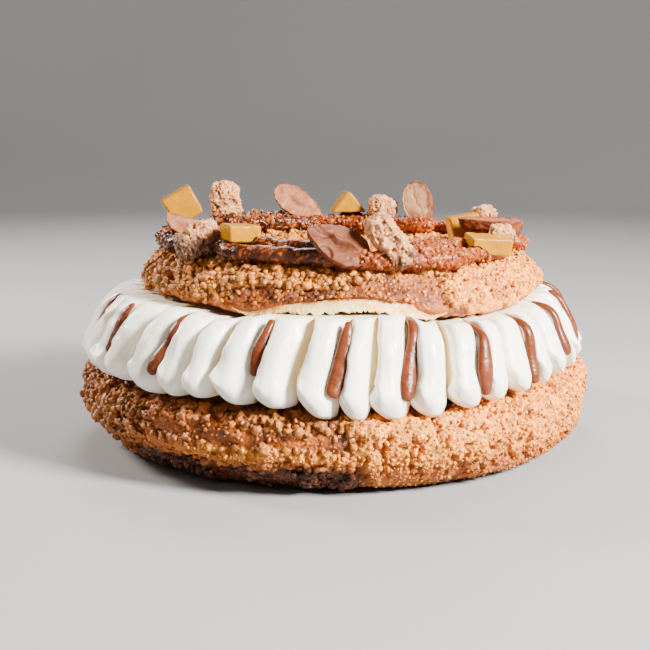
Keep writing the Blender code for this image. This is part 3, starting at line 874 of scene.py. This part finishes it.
def base_shows(point):
    """Whether a place on the bottom half is out of the cream's cover and off the table."""
    radius = math.hypot(point.x, point.y)
    side = radius > 0.0765 or radius < 0.044 or (radius > 0.072 and point.z < BASE_TOP - 0.004)
    return side and point.z > 0.0016


def lid_shows(point):
    """Whether a place on the top half is clear of the cream that it lies on."""
    return point.z > LID_LOW + 0.0022


class PASTRY_OT_base(bpy.types.Operator):
    """Lays the craquelin crust over the bottom half of the choux ring"""

    bl_idname = "pastry.base"
    bl_label = "Bottom half"

    def execute(self, context):
        ring = wrapped_ring("base_choux", BASE_CORE, BASE_ROWS, BASE_STEPS, BASE_SMOOTHING)
        lay_crust(ring, base_recipe)
        settle(ring, "base_crust", crust_finish("craquelin_base", look()), "base_choux")
        strew_crust(ring, "base", base_shows, random.Random(21))
        return {"FINISHED"}


def drape_rim(ring):
    """Lets the top half's outer rim rise and hang, as it does over soft cream."""
    for vertex in ring.data.vertices:
        angle, radius = ring_place(vertex.co - Vector((LID_CENTRE, 0, 0)))
        reach = (1 - between(vertex.co.z, LID_LOW, LID_LOW + 0.010)) * between(radius, 0.050, 0.062)
        vertex.co.z += rim_wave(angle) * reach


class PASTRY_OT_lid(bpy.types.Operator):
    """Lays the craquelin crust over the top half of the choux ring"""

    bl_idname = "pastry.lid"
    bl_label = "Top half"

    def execute(self, context):
        ring = wrapped_ring("lid_choux", LID_CORE, LID_ROWS, LID_STEPS, LID_SMOOTHING)
        drape_rim(ring)
        lay_crust(ring, lid_recipe)
        settle(ring, "lid_crust", crust_finish("craquelin_lid", look()), "lid_choux")
        strew_crust(ring, "lid", lid_shows, random.Random(22))
        return {"FINISHED"}


class PASTRY_OT_flap(bpy.types.Operator):
    """Hangs the torn, pale skin of the choux under the front of the top half"""

    bl_idname = "pastry.flap"
    bl_label = "Torn edge"

    def execute(self, context):
        deselect()
        columns, rows = FLAP_GRID
        bpy.ops.mesh.primitive_grid_add(x_subdivisions=columns, y_subdivisions=rows, size=1)
        flap = bpy.context.object
        toast_and_shade = []
        for vertex in flap.data.vertices:
            along, down = vertex.co.x + 0.5, 0.5 - vertex.co.y
            angle = FLAP_START + (FLAP_END - FLAP_START) * along
            ends = between(along, 0.0, 0.15) * between(1 - along, 0.0, 0.15)
            wide = between(angle, -16, -7) * (1 - between(angle, 17, 27))
            ragged = 1.1 * noise.noise((angle / 1.9, 3.0, 0.0)) + 0.7 * noise.noise((angle / 0.5, 9.0, 0.0))
            drop = (2.2 + 1.5 * wide + 0.7 * noise.noise((angle / 5.0, 1.0, 0.0))) * down + ragged * down**4
            curl = 0.0020 * down * (0.9 + 0.5 * noise.noise((angle / 7.0, 2.0 * down, 1.0)))
            level = LID_LOW + 0.0024 + rim_wave(angle)
            place = on_ring(angle, FLAP_RADIUS + 0.0007 * ends + curl, level - drop * MM * ends)
            place.x += LID_CENTRE
            vertex.co = place + noise.noise_vector(place / 0.009) * 0.0004
            toast_and_shade.append(0.95 * (1 - down) ** 2 + 0.5 * hump(angle, 19, 6) + 0.5 * (1 - wide))
        store(flap.data, "toast_and_shade", toast_and_shade)
        finish_modifier(flap, "SOLIDIFY", thickness=sizes().flap_thickness, offset=0.0)
        settle(flap, "torn_edge", flap_finish(look()))
        return {"FINISHED"}


# ---------------------------------------------------------------- cream


def groove_angle(number):
    """Where the foot of a groove lies. Hand piping is never quite even: the lobes bunch up in places."""
    turns, number = divmod(number, LOBES)
    last = len(FRONT_GROOVES) - 1
    first = min(int(number), last)
    if first < last:
        start, end = FRONT_GROOVES[first : first + 2]
        return 360.0 * turns + start + (end - start) * (number - first)
    share = (number - last) / (LOBES - last)
    wobble = 0.7 * math.sin(2.4 * number) * math.sin(math.pi * share)
    return 360.0 * turns + FRONT_GROOVES[-1] + (360.0 + FRONT_GROOVES[0] - FRONT_GROOVES[-1]) * share + wobble


def lobe_twist(angle):
    """How far round a groove swings between its top and its foot, in degrees."""
    return -3.9 + 7.0 * hump(turned_from(angle, 85), 0, 45)


def rim_drop(angle, radius):
    """How far the cream's feet hang over the rim of the bottom half, which is low at the front."""
    front = 0.0050 * hump(turned_from(angle, 14), 0, 24) + 0.0012
    return front * between(radius, 0.070, 0.080)


def lobe_traits():
    """For each lobe its groove's depth, how long its foot is, how far it bulges and how its foot slants."""
    chance = random.Random(11)
    return [
        (chance.uniform(0.85, 1.15), chance.uniform(-0.0006, 0.0006), chance.uniform(-0.0005, 0.0006),
         chance.uniform(-0.0012, 0.0012))
        for _ in range(LOBES)
    ]


def cream_section(part, share):
    """(radius, height, how much of the grooves shows) along the cream's section, up its outside, over the
    top, down inside, out along the floor and up round the foot."""
    if part == "outside":
        outline = [*CREAM_OUTLINE, (FOOT_OUTER, CREAM_FLOOR + ROLL)]
        radius, height = spline(outline, 1 - share)
        return radius, height, between(radius, 0.060, 0.072)
    if part == "top":
        edge, height = CREAM_EDGE
        return edge + (CREAM_INSIDE - edge) * share, height, 0.0
    if part == "inside":
        radius, height = spline(INSIDE_OUTLINE, share)
        return radius, height, -0.35
    if part == "floor":
        return CREAM_INSIDE + (FOOT_INNER - CREAM_INSIDE) * share, CREAM_FLOOR, between(share, 0.7, 1.0)
    bend = share * math.pi / 2
    radius = FOOT_INNER + FOOT_REACH * math.sin(bend)
    return radius, CREAM_FLOOR + ROLL * (1 - math.cos(bend)), 1.0


def cream_rows():
    """The cream's section as rows, one after another round it."""
    return [cream_section(part, (n + 0.5) / rows) for part, rows in CREAM_ROWS.items() for n in range(rows)]


def lobe_cross(across, finger):
    """(share of the lobe's width, depth, lift of its foot) at a step across it."""
    petal_place = spline([*PETAL, (1.03, 1.0)], across)
    finger_place = spline([*FINGER, (1.01, 1.0)], across)
    lift = spline([*FOOT_LIFT, (1.0,)], across)[0]
    return [p + (f - p) * finger for p, f in zip(petal_place, finger_place)] + [lift]


def creased(place, angle):
    """Small peaks and creases, strongest on the side where the piping was smeared."""
    messy = hump(turned_from(angle, -64), 0, 20) + 0.6 * hump(turned_from(angle, 140), 0, 25)
    folds = 1 - abs(noise.noise(place / 0.0085)) * 2.0
    rough = 0.00035 * noise.noise(place / 0.007) + 0.00014 * noise.noise(place / 0.0022)
    rough += 0.00030 * noise.noise(Vector((angle / 1.3, place.z / 0.016, 7.0)))
    return rough + messy * (0.0011 * folds + 0.0005 * noise.noise(place / 0.003) - 0.0007)


def cream_place(lobe, cross, traits, row):
    """The point of the cream's surface at a place across a lobe and along a row."""
    share, depth, lift = cross
    radius, height, grooved = row
    strength, foot, bulge, slant = traits[lobe]
    start, end = groove_angle(lobe), groove_angle(lobe + 1)
    angle = start + (end - start) * share
    if radius < RING_MIDDLE:
        return on_ring(angle, radius - depth * grooved * sizes().groove, height)
    deep = sizes().groove * strength * min(1.15, 0.45 + 0.55 * (end - start) / 8.2)
    up = (height - CREAM_FLOOR) / (CREAM_HIGH - CREAM_FLOOR)
    drop = rim_drop(angle, radius) * (1 - between(height, 0.030, 0.045))
    angle -= lobe_twist(angle) * up
    angle += 0.75 * noise.noise((2.1 * (lobe + between(share, 0.3, 0.9)), 95.0 * height, 0.0)) * abs(grooved)
    lip = hump(share, 0.0, 0.16)
    crinkle = noise.noise((7.3 * lobe, height / 0.0040, 3.0))
    crinkle += 0.4 * noise.noise((5.1 * lobe, height / 0.0013, 9.0))
    angle += 0.55 * lip * crinkle * abs(grooved)
    low = 1 - between(height, CREAM_FLOOR, CREAM_FLOOR + 0.012)
    raised = (sizes().foot_rise * lift + foot + slant * (2 * share - 1)) * low * abs(grooved)
    swollen = bulge * math.sin(math.pi * min(1.0, up * 1.1))
    swollen += 0.0008 * hump(height, CREAM_FLOOR + 0.0045, 0.003)
    radius += (swollen * (1 - depth) - deep * depth) * grooved
    height += raised - drop
    height += rim_wave(angle) * between(up, 0.55, 0.95) * (1 - between(radius, 0.072, 0.080))
    place = on_ring(angle, radius, min(height, CREAM_HIGH))
    return place + on_ring(angle, 1.0, 0.0) * (creased(place, angle) * grooved)


class PASTRY_OT_cream(bpy.types.Operator):
    """Pipes the cream's lobes side by side round the ring"""

    bl_idname = "pastry.cream"
    bl_label = "Cream"

    def execute(self, context):
        rows = cream_rows()
        traits = lobe_traits()
        ring, places = new_ring(LOBES * ACROSS, len(rows))
        creases = []
        for vertex, (column, row) in zip(ring.data.vertices, places):
            lobe, step = divmod(column, ACROSS)
            middle = turned_from(groove_angle(lobe + 0.5), 0)
            finger = between(middle, 12, 30) * (1 - between(middle, 150, 175))
            full = 0.8 * (1 - between(rows[row][1], CREAM_FLOOR + 0.002, CREAM_FLOOR + 0.010))
            cross = lobe_cross(step / ACROSS, max(finger, full))
            place = cream_place(lobe, cross, traits, rows[row])
            place.x += CREAM_SHIFT
            vertex.co = inside_box(place)
            # The deeper in a groove, the more painted shade
            creases.append(max(0.0, cross[1]) ** 1.5)
        store(ring.data, "groove_shade", creases)
        finish_modifier(ring, "SMOOTH", factor=0.2, iterations=1)
        settle(ring, "cream_lobes", cream_finish(look()), "cream")
        return {"FINISHED"}


# ---------------------------------------------------------------- chocolate sauce


def cream_face(angle, height, tree):
    """Where the cream's outside lies at a height. Above the edge of a short lobe it is that edge."""
    inward = -on_ring(angle, 1.0, 0.0)
    side = tree.ray_cast(on_ring(angle, FAR_OUT, height), inward, FAR_OUT - RING_MIDDLE)[0]
    if side:
        return side
    return tree.ray_cast(on_ring(angle, DRIP_EDGE, CREAM_HIGH + 0.01), DOWN)[0]


def drip_course(groove, end, tree, chance):
    """Points down a groove on the cream's surface, from under the top half to the drip's end."""
    foot = groove_angle(groove)
    top_offset, end_offset = chance.uniform(*DRIP_TOP_OFFSETS), chance.uniform(*DRIP_END_OFFSETS)
    top = chance.uniform(*DRIP_TOPS)
    course = []
    for step in range(DRIP_POINTS):
        t = step / (DRIP_POINTS - 1)
        height = top + (end - top) * t
        up = (height - CREAM_FLOOR) / (CREAM_HIGH - CREAM_FLOOR)
        angle = foot - lobe_twist(foot) * up + top_offset + (end_offset - top_offset) * t
        angle += 0.28 * math.sin(5.0 * t + groove)
        proud = 0.0034 - 0.0018 * between(t, 0.0, 0.6)
        course.append(cream_face(angle, height, tree) + on_ring(angle, proud, 0.0))
    for _ in range(DRIP_EASING):
        course[1:-1] = [(a + b * 2 + c) / 4 for a, b, c in zip(course, course[1:], course[2:])]
    return course


def sauce_drip(groove, end, tree, chance):
    """One drip: thin where it runs out from under the top half, and thick and round at its end."""
    course = drip_course(groove, end, tree, chance)
    width = sizes().drip_width * chance.uniform(0.9, 1.12)
    deselect()
    bpy.ops.mesh.primitive_uv_sphere_add(segments=20, ring_count=40, radius=1.0)
    drip = bpy.context.object
    for vertex in drip.data.vertices:
        polar = math.acos(max(-1.0, min(1.0, vertex.co.z))) / math.pi
        around = math.atan2(vertex.co.y, vertex.co.x)
        place = Vector(spline(course, polar))
        ahead = Vector(spline(course, min(1.0, polar + 0.03)))
        ahead -= Vector(spline(course, max(0.0, polar - 0.03)))
        outward = Vector((place.x, place.y, 0.0)).normalized()
        side = ahead.cross(outward).normalized()
        outward = side.cross(ahead).normalized()
        size = width * (0.66 + 0.34 * between(polar, 0.20, 0.85)) * (1 + 0.07 * math.sin(9 * polar + groove))
        size *= math.sin(math.pi * polar) ** 0.25
        vertex.co = place + side * (math.cos(around) * size / 2)
        vertex.co = inside_box(vertex.co + outward * ((math.sin(around) * 0.62 + 0.18) * size / 2))
    return drip


def joined(objects):
    """The objects as one, joined one after another so that their order is always the same."""
    whole = objects[0]
    for obj in objects[1:]:
        take(whole)
        obj.select_set(True)
        bpy.ops.object.join()
    return whole


class PASTRY_OT_sauce(bpy.types.Operator):
    """Runs chocolate sauce down the cream's grooves"""

    bl_idname = "pastry.sauce"
    bl_label = "Chocolate sauce"

    def execute(self, context):
        chance = random.Random(5)
        tree = surface_tree(bpy.data.objects["cream_lobes"])
        ends = {**DRIP_ENDS, **{groove: chance.uniform(*BACK_DRIP_ENDS) for groove in BACK_DRIPS}}
        drips = [sauce_drip(groove, end * MM, tree, chance) for groove, end in ends.items()]
        finish = chocolate_finish(look())
        for drip in drips:
            drip.data.materials.append(finish)
        settle(joined(drips), "sauce_drips", finish)
        return {"FINISHED"}


# ---------------------------------------------------------------- praline


def cord_run(start, end, radius):
    """Places along an arc, without its ends."""
    count = max(2, round(math.radians(abs(end - start)) * radius / CORD_STEP))
    return [(start + (end - start) * n / count, radius) for n in range(1, count)]


def cord_turn(angle, radius, forward, inward):
    """A half circle that doubles the cord back, one spacing further in or out."""
    arc = CORD_SPACING / 2
    middle = radius + inward * arc
    count = round(math.pi * arc / CORD_STEP)
    places = []
    for step in range(count + 1):
        turn = math.pi * step / count
        along = forward * arc * math.sin(turn)
        places.append((angle + math.degrees(along / middle), middle - inward * arc * math.cos(turn)))
    return places


def cord_places():
    """The praline cord's course as (angle, radius) places round the top half's centre."""
    places = []
    pitch = 360.0 / CORD_RUNS
    outer, middle, inner = (CORD_OUTER - n * CORD_SPACING for n in range(3))
    for run in range(CORD_RUNS):
        centre = CORD_CENTRE + run * pitch
        start, end = centre - CORD_HALF_RUN, centre + CORD_HALF_RUN
        back, ahead = centre + pitch / 2 - CORD_HALF_RUN, centre + pitch / 2 + CORD_HALF_RUN
        following = start + pitch
        places += cord_run(start, end, outer)
        places += cord_turn(end, outer, 1, -1)
        places += cord_run(end, back, middle)
        places += cord_turn(back, middle, -1, -1)
        places += cord_run(back, ahead, inner)
        places += cord_turn(ahead, inner, 1, 1)
        places += cord_run(ahead, following, middle)
        places += cord_turn(following, middle, -1, 1)
    return places


def cord_course():
    """Points along the cord's middle, resting on the top half."""
    tree = surface_tree(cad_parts["lid_choux"])
    course = []
    for angle, radius in cord_places():
        radius += 0.0006 * math.sin(math.radians(3 * angle + 40)) + 0.0005 * math.sin(math.radians(5 * angle))
        spot = on_ring(angle, radius, FAR_OUT)
        spot.x += LID_CENTRE
        hit = tree.ray_cast(spot, DOWN)[0]
        course.append(hit + Vector((0, 0, CORD_RADIUS + CORD_CLEARANCE)))
    for _ in range(CORD_EASING):
        before, after = course[-1:] + course, course[1:] + course[:1]
        course = [(a + b * 2 + c) / 4 for a, b, c in zip(before, course, after)]
    return course


class PASTRY_OT_praline(bpy.types.Operator):
    """Pipes the praline cord to and fro on the top half"""

    bl_idname = "pastry.praline"
    bl_label = "Praline"

    def execute(self, context):
        course = cord_course()
        count = len(course)
        ring, places = new_ring(count, CORD_SIDES)
        tone, bits = [], []
        for vertex, (step, side) in zip(ring.data.vertices, places):
            middle = course[step]
            along = (course[(step + 3) % count] - course[step - 3]).normalized()
            across = along.cross(Vector((0, 0, 1))).normalized()
            up = across.cross(along)
            turn = 2 * math.pi * side / CORD_SIDES
            outward = across * math.cos(turn) + up * math.sin(turn)
            spot = middle + outward * CORD_RADIUS
            grain, _ = packed_grains(spot / MM + noise.noise_vector(spot / 0.0015) * 0.3, 1.35)
            slow = 0.30 * noise.noise(middle / 0.008) + 0.22 * noise.noise(spot / 0.0035)
            nubbly = 0.35 + 0.65 * max(between(spot.x, -0.012, 0.010), between(spot.y, -0.04, -0.01))
            lumps = 0.75 * (grain - 0.6) * nubbly * (0.8 + noise.noise(spot / 0.006))
            swell = CORD_RADIUS * (1.05 + slow) + lumps * MM
            vertex.co = inside_box(middle + outward * swell)
            tone.append(between(middle.x + 0.012 * noise.noise(middle / 0.012) * 2, -0.030, 0.035))
            bits.append(grain)
        store(ring.data, "tone", tone)
        store(ring.data, "bits", bits)
        finish = praline_finish(look())
        settle(ring, "praline_cord_piped", finish, "praline_cord")
        chance = random.Random(31)

        def nutty(vertex):
            left = 1 - between(vertex.co.x, -0.012, 0.010)
            smooth = 0.9 * left * (1 - between(vertex.co.y, -0.04, -0.01))
            return noise.noise(vertex.co / 0.005) > smooth - 0.35

        picked = spread(ring, NUT_SPACING, chance, nutty)[: sizes().nut_bits]
        strew("praline_nut_bits", ring, picked, new_grain(False), NUT_WIDTH, NUT_RISE, chance,
              ("tone", "bits"), finish)
        return {"FINISHED"}


# ---------------------------------------------------------------- toppings


def fine_copy(node, voxel, smoothing):
    """A fine, evenly meshed copy of a CAD node, with its edges a little rounded."""
    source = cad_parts[node]
    copy = bpy.data.objects.new(node + "_copy", source.data.copy())
    bpy.context.scene.collection.objects.link(copy)
    take(copy)
    bpy.ops.object.mode_set(mode="EDIT")
    bpy.ops.mesh.select_all(action="SELECT")
    bpy.ops.mesh.remove_doubles(threshold=NODE_MERGE_DISTANCE)
    bpy.ops.object.mode_set(mode="OBJECT")
    finish_modifier(copy, "REMESH", mode="VOXEL", voxel_size=voxel)
    finish_modifier(copy, "SMOOTH", factor=0.5, iterations=smoothing)
    return copy


def widest_flat(node):
    """(middle, normal) of a CAD node's largest flat face."""
    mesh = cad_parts[node].data
    groups = []
    for face in mesh.polygons:
        for group in groups:
            if face.normal.dot(group[0]) > 0.9995 and abs((face.center - group[1]).dot(group[0])) < 0.00002:
                break
        else:
            group = [face.normal.copy(), face.center.copy(), 0.0, Vector()]
            groups.append(group)
        group[2] += face.area
        group[3] += face.center * face.area
    best = max(groups, key=lambda group: group[2])
    return best[3] / best[2], best[0]


def long_axis(node, normal):
    """The direction in which a CAD node is longest, square to a normal."""
    points = [vertex.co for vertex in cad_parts[node].data.vertices]
    start = max(points, key=lambda point: (point - points[0]).length)
    end = max(points, key=lambda point: (point - start).length)
    axis = end - start
    return (axis - normal * axis.dot(normal)).normalized()


class PASTRY_OT_mango(bpy.types.Operator):
    """Cuts the mango dice"""

    bl_idname = "pastry.mango"
    bl_label = "Mango"

    def execute(self, context):
        finish = mango_finish(look())
        for node in MANGO_DICE:
            die = fine_copy(node, *MANGO_MESH)
            normals = [normal.vector.copy() for normal in die.data.vertex_normals]
            for vertex, normal in zip(die.data.vertices, normals):
                spot = vertex.co
                wave = 0.00024 * noise.noise(spot / 0.0040) + 0.00006 * noise.noise(spot / 0.0014)
                vertex.co = inside_box(spot + normal * (wave - 0.00008))
            settle(die, "fruit_" + node, finish, node)
        return {"FINISHED"}


class PASTRY_OT_almonds(bpy.types.Operator):
    """Splits the almonds: skin outside, a pale cut face inside"""

    bl_idname = "pastry.almonds"
    bl_label = "Almonds"

    def execute(self, context):
        finish = almond_finish(look())
        for node, (roast, pale) in ALMONDS.items():
            self.make(node, roast, pale, finish)
        return {"FINISHED"}

    def make(self, node, roast, pale, finish):
        nut = fine_copy(node, *ALMOND_MESH)
        middle, facing = widest_flat(node)
        axis = long_axis(node, facing)
        across = facing.cross(axis)
        flesh, streak, hollow = [], [], []
        normals = [normal.vector.copy() for normal in nut.data.vertex_normals]
        for vertex, normal in zip(nut.data.vertices, normals):
            spot = vertex.co - middle
            a, b, n = spot.dot(axis) / MM, spot.dot(across) / MM, spot.dot(facing) / MM
            face = between(normal.dot(facing), 0.955, 0.998) * between(n, -0.35, -0.05)
            line = noise.noise(Vector((a / 9.0, b / 0.75, n / 0.75)))
            ripple = 0.24 * line + 0.12 * noise.noise(vertex.co / 0.0022)
            wander = b + 0.9 * noise.noise(vertex.co / 0.003)
            slot = hump(wander, 0.0, 0.6 + 0.5 * roast) * hump(a, -0.5, 4.0) * (0.25 + 0.75 * roast)
            cut = -0.40 + 0.35 * noise.noise(vertex.co / 0.004) + 0.12 * noise.noise(vertex.co / 0.0012)
            cut -= 1.4 * slot
            dent = 0.8 * roast * between(noise.noise(vertex.co / 0.005), 0.1, 0.3)
            cut += 0.5 * roast * hump(wander, 1.8, 0.7) - dent
            push = ripple * (1 - face) + cut * face
            vertex.co = inside_box(vertex.co + normal * (push * MM))
            flesh.append(face)
            streak.append(line)
            hollow.append(0.9 * slot * face)
        for name, values in (("flesh", flesh), ("streak", streak), ("hollow", hollow)):
            store(nut.data, name, values)
        store(nut.data, "roast", [roast] * len(flesh))
        # How pale the cut face is: partly painted light
        store(nut.data, "pale", [pale] * len(flesh))
        settle(nut, "nut_" + node, finish, node)


class PASTRY_OT_crumble(bpy.types.Operator):
    """Breaks the crumble into rough lumps"""

    bl_idname = "pastry.crumble"
    bl_label = "Crumble"

    def execute(self, context):
        finish = crumble_finish(look())
        for node in CRUMBLES:
            lump = fine_copy(node, *CRUMBLE_MESH)
            low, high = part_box(node)
            crevice_dark_and_shade, soaked = [], []
            normals = [normal.vector.copy() for normal in lump.data.vertex_normals]
            for vertex, normal in zip(lump.data.vertices, normals):
                spot = vertex.co / MM + noise.noise_vector(vertex.co / 0.002) * 0.7
                grain, home = packed_grains(spot, 1.1)
                push = 0.9 * noise.noise(spot / 3.2) + 0.7 * noise.noise(home / 1.3) + 0.3 * (grain - 0.6)
                hole = between(noise.noise(spot / 1.5 + APART), 0.2, 0.4)
                push += 0.45 * noise.noise(spot / 0.7) - 0.7 * hole
                vertex.co = inside_box(vertex.co + normal * ((push - 0.05) * MM))
                # Hollows are marked for painted shade
                crevice_dark_and_shade.append(between(-push, 0.1, 1.1))
                up = (vertex.co.z - low.z) / (high.z - low.z) + 0.5 * noise.noise(vertex.co / 0.004)
                soaked.append(0.75 * (1 - between(up - SOAKED.get(node, 0.0), 0.10, 0.34)))
            store(lump.data, "crevice_dark_and_shade", crevice_dark_and_shade)
            store(lump.data, "soaked", soaked)
            settle(lump, "lump_" + node, finish, node)
        return {"FINISHED"}


class PASTRY_OT_crumbs(bpy.types.Operator):
    """Drops loose crumbs on the top half"""

    bl_idname = "pastry.crumbs"
    bl_label = "Loose crumbs"

    def execute(self, context):
        ring = bpy.data.objects["lid_crust"]
        store(ring.data, "soaked", [0.0] * len(ring.data.vertices))
        normals = ring.data.vertex_normals
        chance = random.Random(41)

        def wanted(vertex):
            return normals[vertex.index].vector.z > 0.45 and noise.noise(vertex.co / 0.007) > -0.1

        picked = spread(ring, CRUMB_SPACING, chance, wanted)[: sizes().crumbs]
        strew("loose_crumbs", ring, picked, new_grain(False), CRUMB_WIDTH, CRUMB_RISE, chance,
              ("soaked",), bpy.data.materials["baked_crumble"])
        return {"FINISHED"}


# ---------------------------------------------------------------- stage


class PASTRY_OT_stage(bpy.types.Operator):
    """Sets a pale floor, soft studio light and the camera"""

    bl_idname = "pastry.stage"
    bl_label = "Stage"

    def execute(self, context):
        self.floor()
        world = bpy.data.worlds.new("studio")
        world.use_nodes = True
        background = world.node_tree.nodes["Background"]
        background.inputs["Color"].default_value = AIR_COLOUR
        background.inputs["Strength"].default_value = AIR_STRENGTH
        bpy.context.scene.world = world
        for name, (place, width, power, tint) in LIGHTS.items():
            self.soft_light(name, place, width, power, tint)
        self.camera()
        return {"FINISHED"}

    def floor(self):
        """A floor that curves up far off, all round, so that no edge of it shows."""
        deselect()
        steps = FLOOR_STEPS
        bpy.ops.mesh.primitive_grid_add(x_subdivisions=steps, y_subdivisions=steps, size=FLOOR_SIZE)
        floor = bpy.context.object
        for vertex in floor.data.vertices:
            reach = math.hypot(vertex.co.x, vertex.co.y)
            beyond = max(0.0, reach - COVE_START)
            turn = min(beyond / COVE_RADIUS, math.pi / 2)
            shrink = (min(reach, COVE_START) + COVE_RADIUS * math.sin(turn)) / max(reach, COVE_START / 100)
            vertex.co.x *= shrink
            vertex.co.y *= shrink
            vertex.co.z = COVE_RADIUS * (1 - math.cos(turn)) + max(0.0, beyond - COVE_RADIUS * math.pi / 2)
        floor.data.shade_smooth()
        floor.name = "studio_floor"
        floor.data.materials.append(floor_finish(look()))

    def soft_light(self, name, place, width, power, tint):
        data = bpy.data.lights.new(name, "AREA")
        data.shape = "DISK"
        data.size = width
        data.energy = power
        data.color = tint
        light = bpy.data.objects.new(name, data)
        bpy.context.scene.collection.objects.link(light)
        light.location = place
        light.rotation_euler = (LIGHT_AIM - Vector(place)).to_track_quat("-Z", "Y").to_euler()

    def camera(self):
        data = bpy.data.cameras.new("camera")
        camera = bpy.data.objects.new("camera", data)
        bpy.context.scene.collection.objects.link(camera)
        camera.location = CAMERA_PLACE
        camera.rotation_euler = (math.radians(90 - CAMERA_DIP), 0.0, 0.0)
        data.lens = CAMERA_LENS
        data.sensor_width = CAMERA_SENSOR
        data.shift_x = CAMERA_SHIFT
        data.clip_start = 0.01
        bpy.context.scene.camera = camera


# ---------------------------------------------------------------- add-on


STEPS = ("stage", "base", "cream", "lid", "flap", "sauce", "praline", "mango", "almonds", "crumble", "crumbs")


class PASTRY_PT_panel(bpy.types.Panel):
    """Lists the pastry's making, step by step"""

    bl_idname = "PASTRY_PT_panel"
    bl_label = "Paris-Brest"
    bl_space_type = "VIEW_3D"
    bl_region_type = "UI"
    bl_category = "Pastry"

    def draw(self, context):
        for step in STEPS:
            self.layout.operator("pastry." + step)
        for group in (context.scene.pastry_sizes, context.scene.pastry_look):
            for name in group.__annotations__:
                self.layout.prop(group, name)


CLASSES = (
    PastrySizes,
    PastryLook,
    PASTRY_OT_base,
    PASTRY_OT_lid,
    PASTRY_OT_flap,
    PASTRY_OT_cream,
    PASTRY_OT_sauce,
    PASTRY_OT_praline,
    PASTRY_OT_mango,
    PASTRY_OT_almonds,
    PASTRY_OT_crumble,
    PASTRY_OT_crumbs,
    PASTRY_OT_stage,
    PASTRY_PT_panel,
)


def register():
    noise.seed_set(PATTERN)
    for made in CLASSES:
        bpy.utils.register_class(made)
    bpy.types.Scene.pastry_sizes = PointerProperty(type=PastrySizes)
    bpy.types.Scene.pastry_look = PointerProperty(type=PastryLook)


def unregister():
    del bpy.types.Scene.pastry_look
    del bpy.types.Scene.pastry_sizes
    for made in reversed(CLASSES):
        bpy.utils.unregister_class(made)


def main():
    register()
    for step in STEPS:
        getattr(bpy.ops.pastry, step)()
    bpy.context.view_layer.update()


if __name__ == "__main__":
    main()
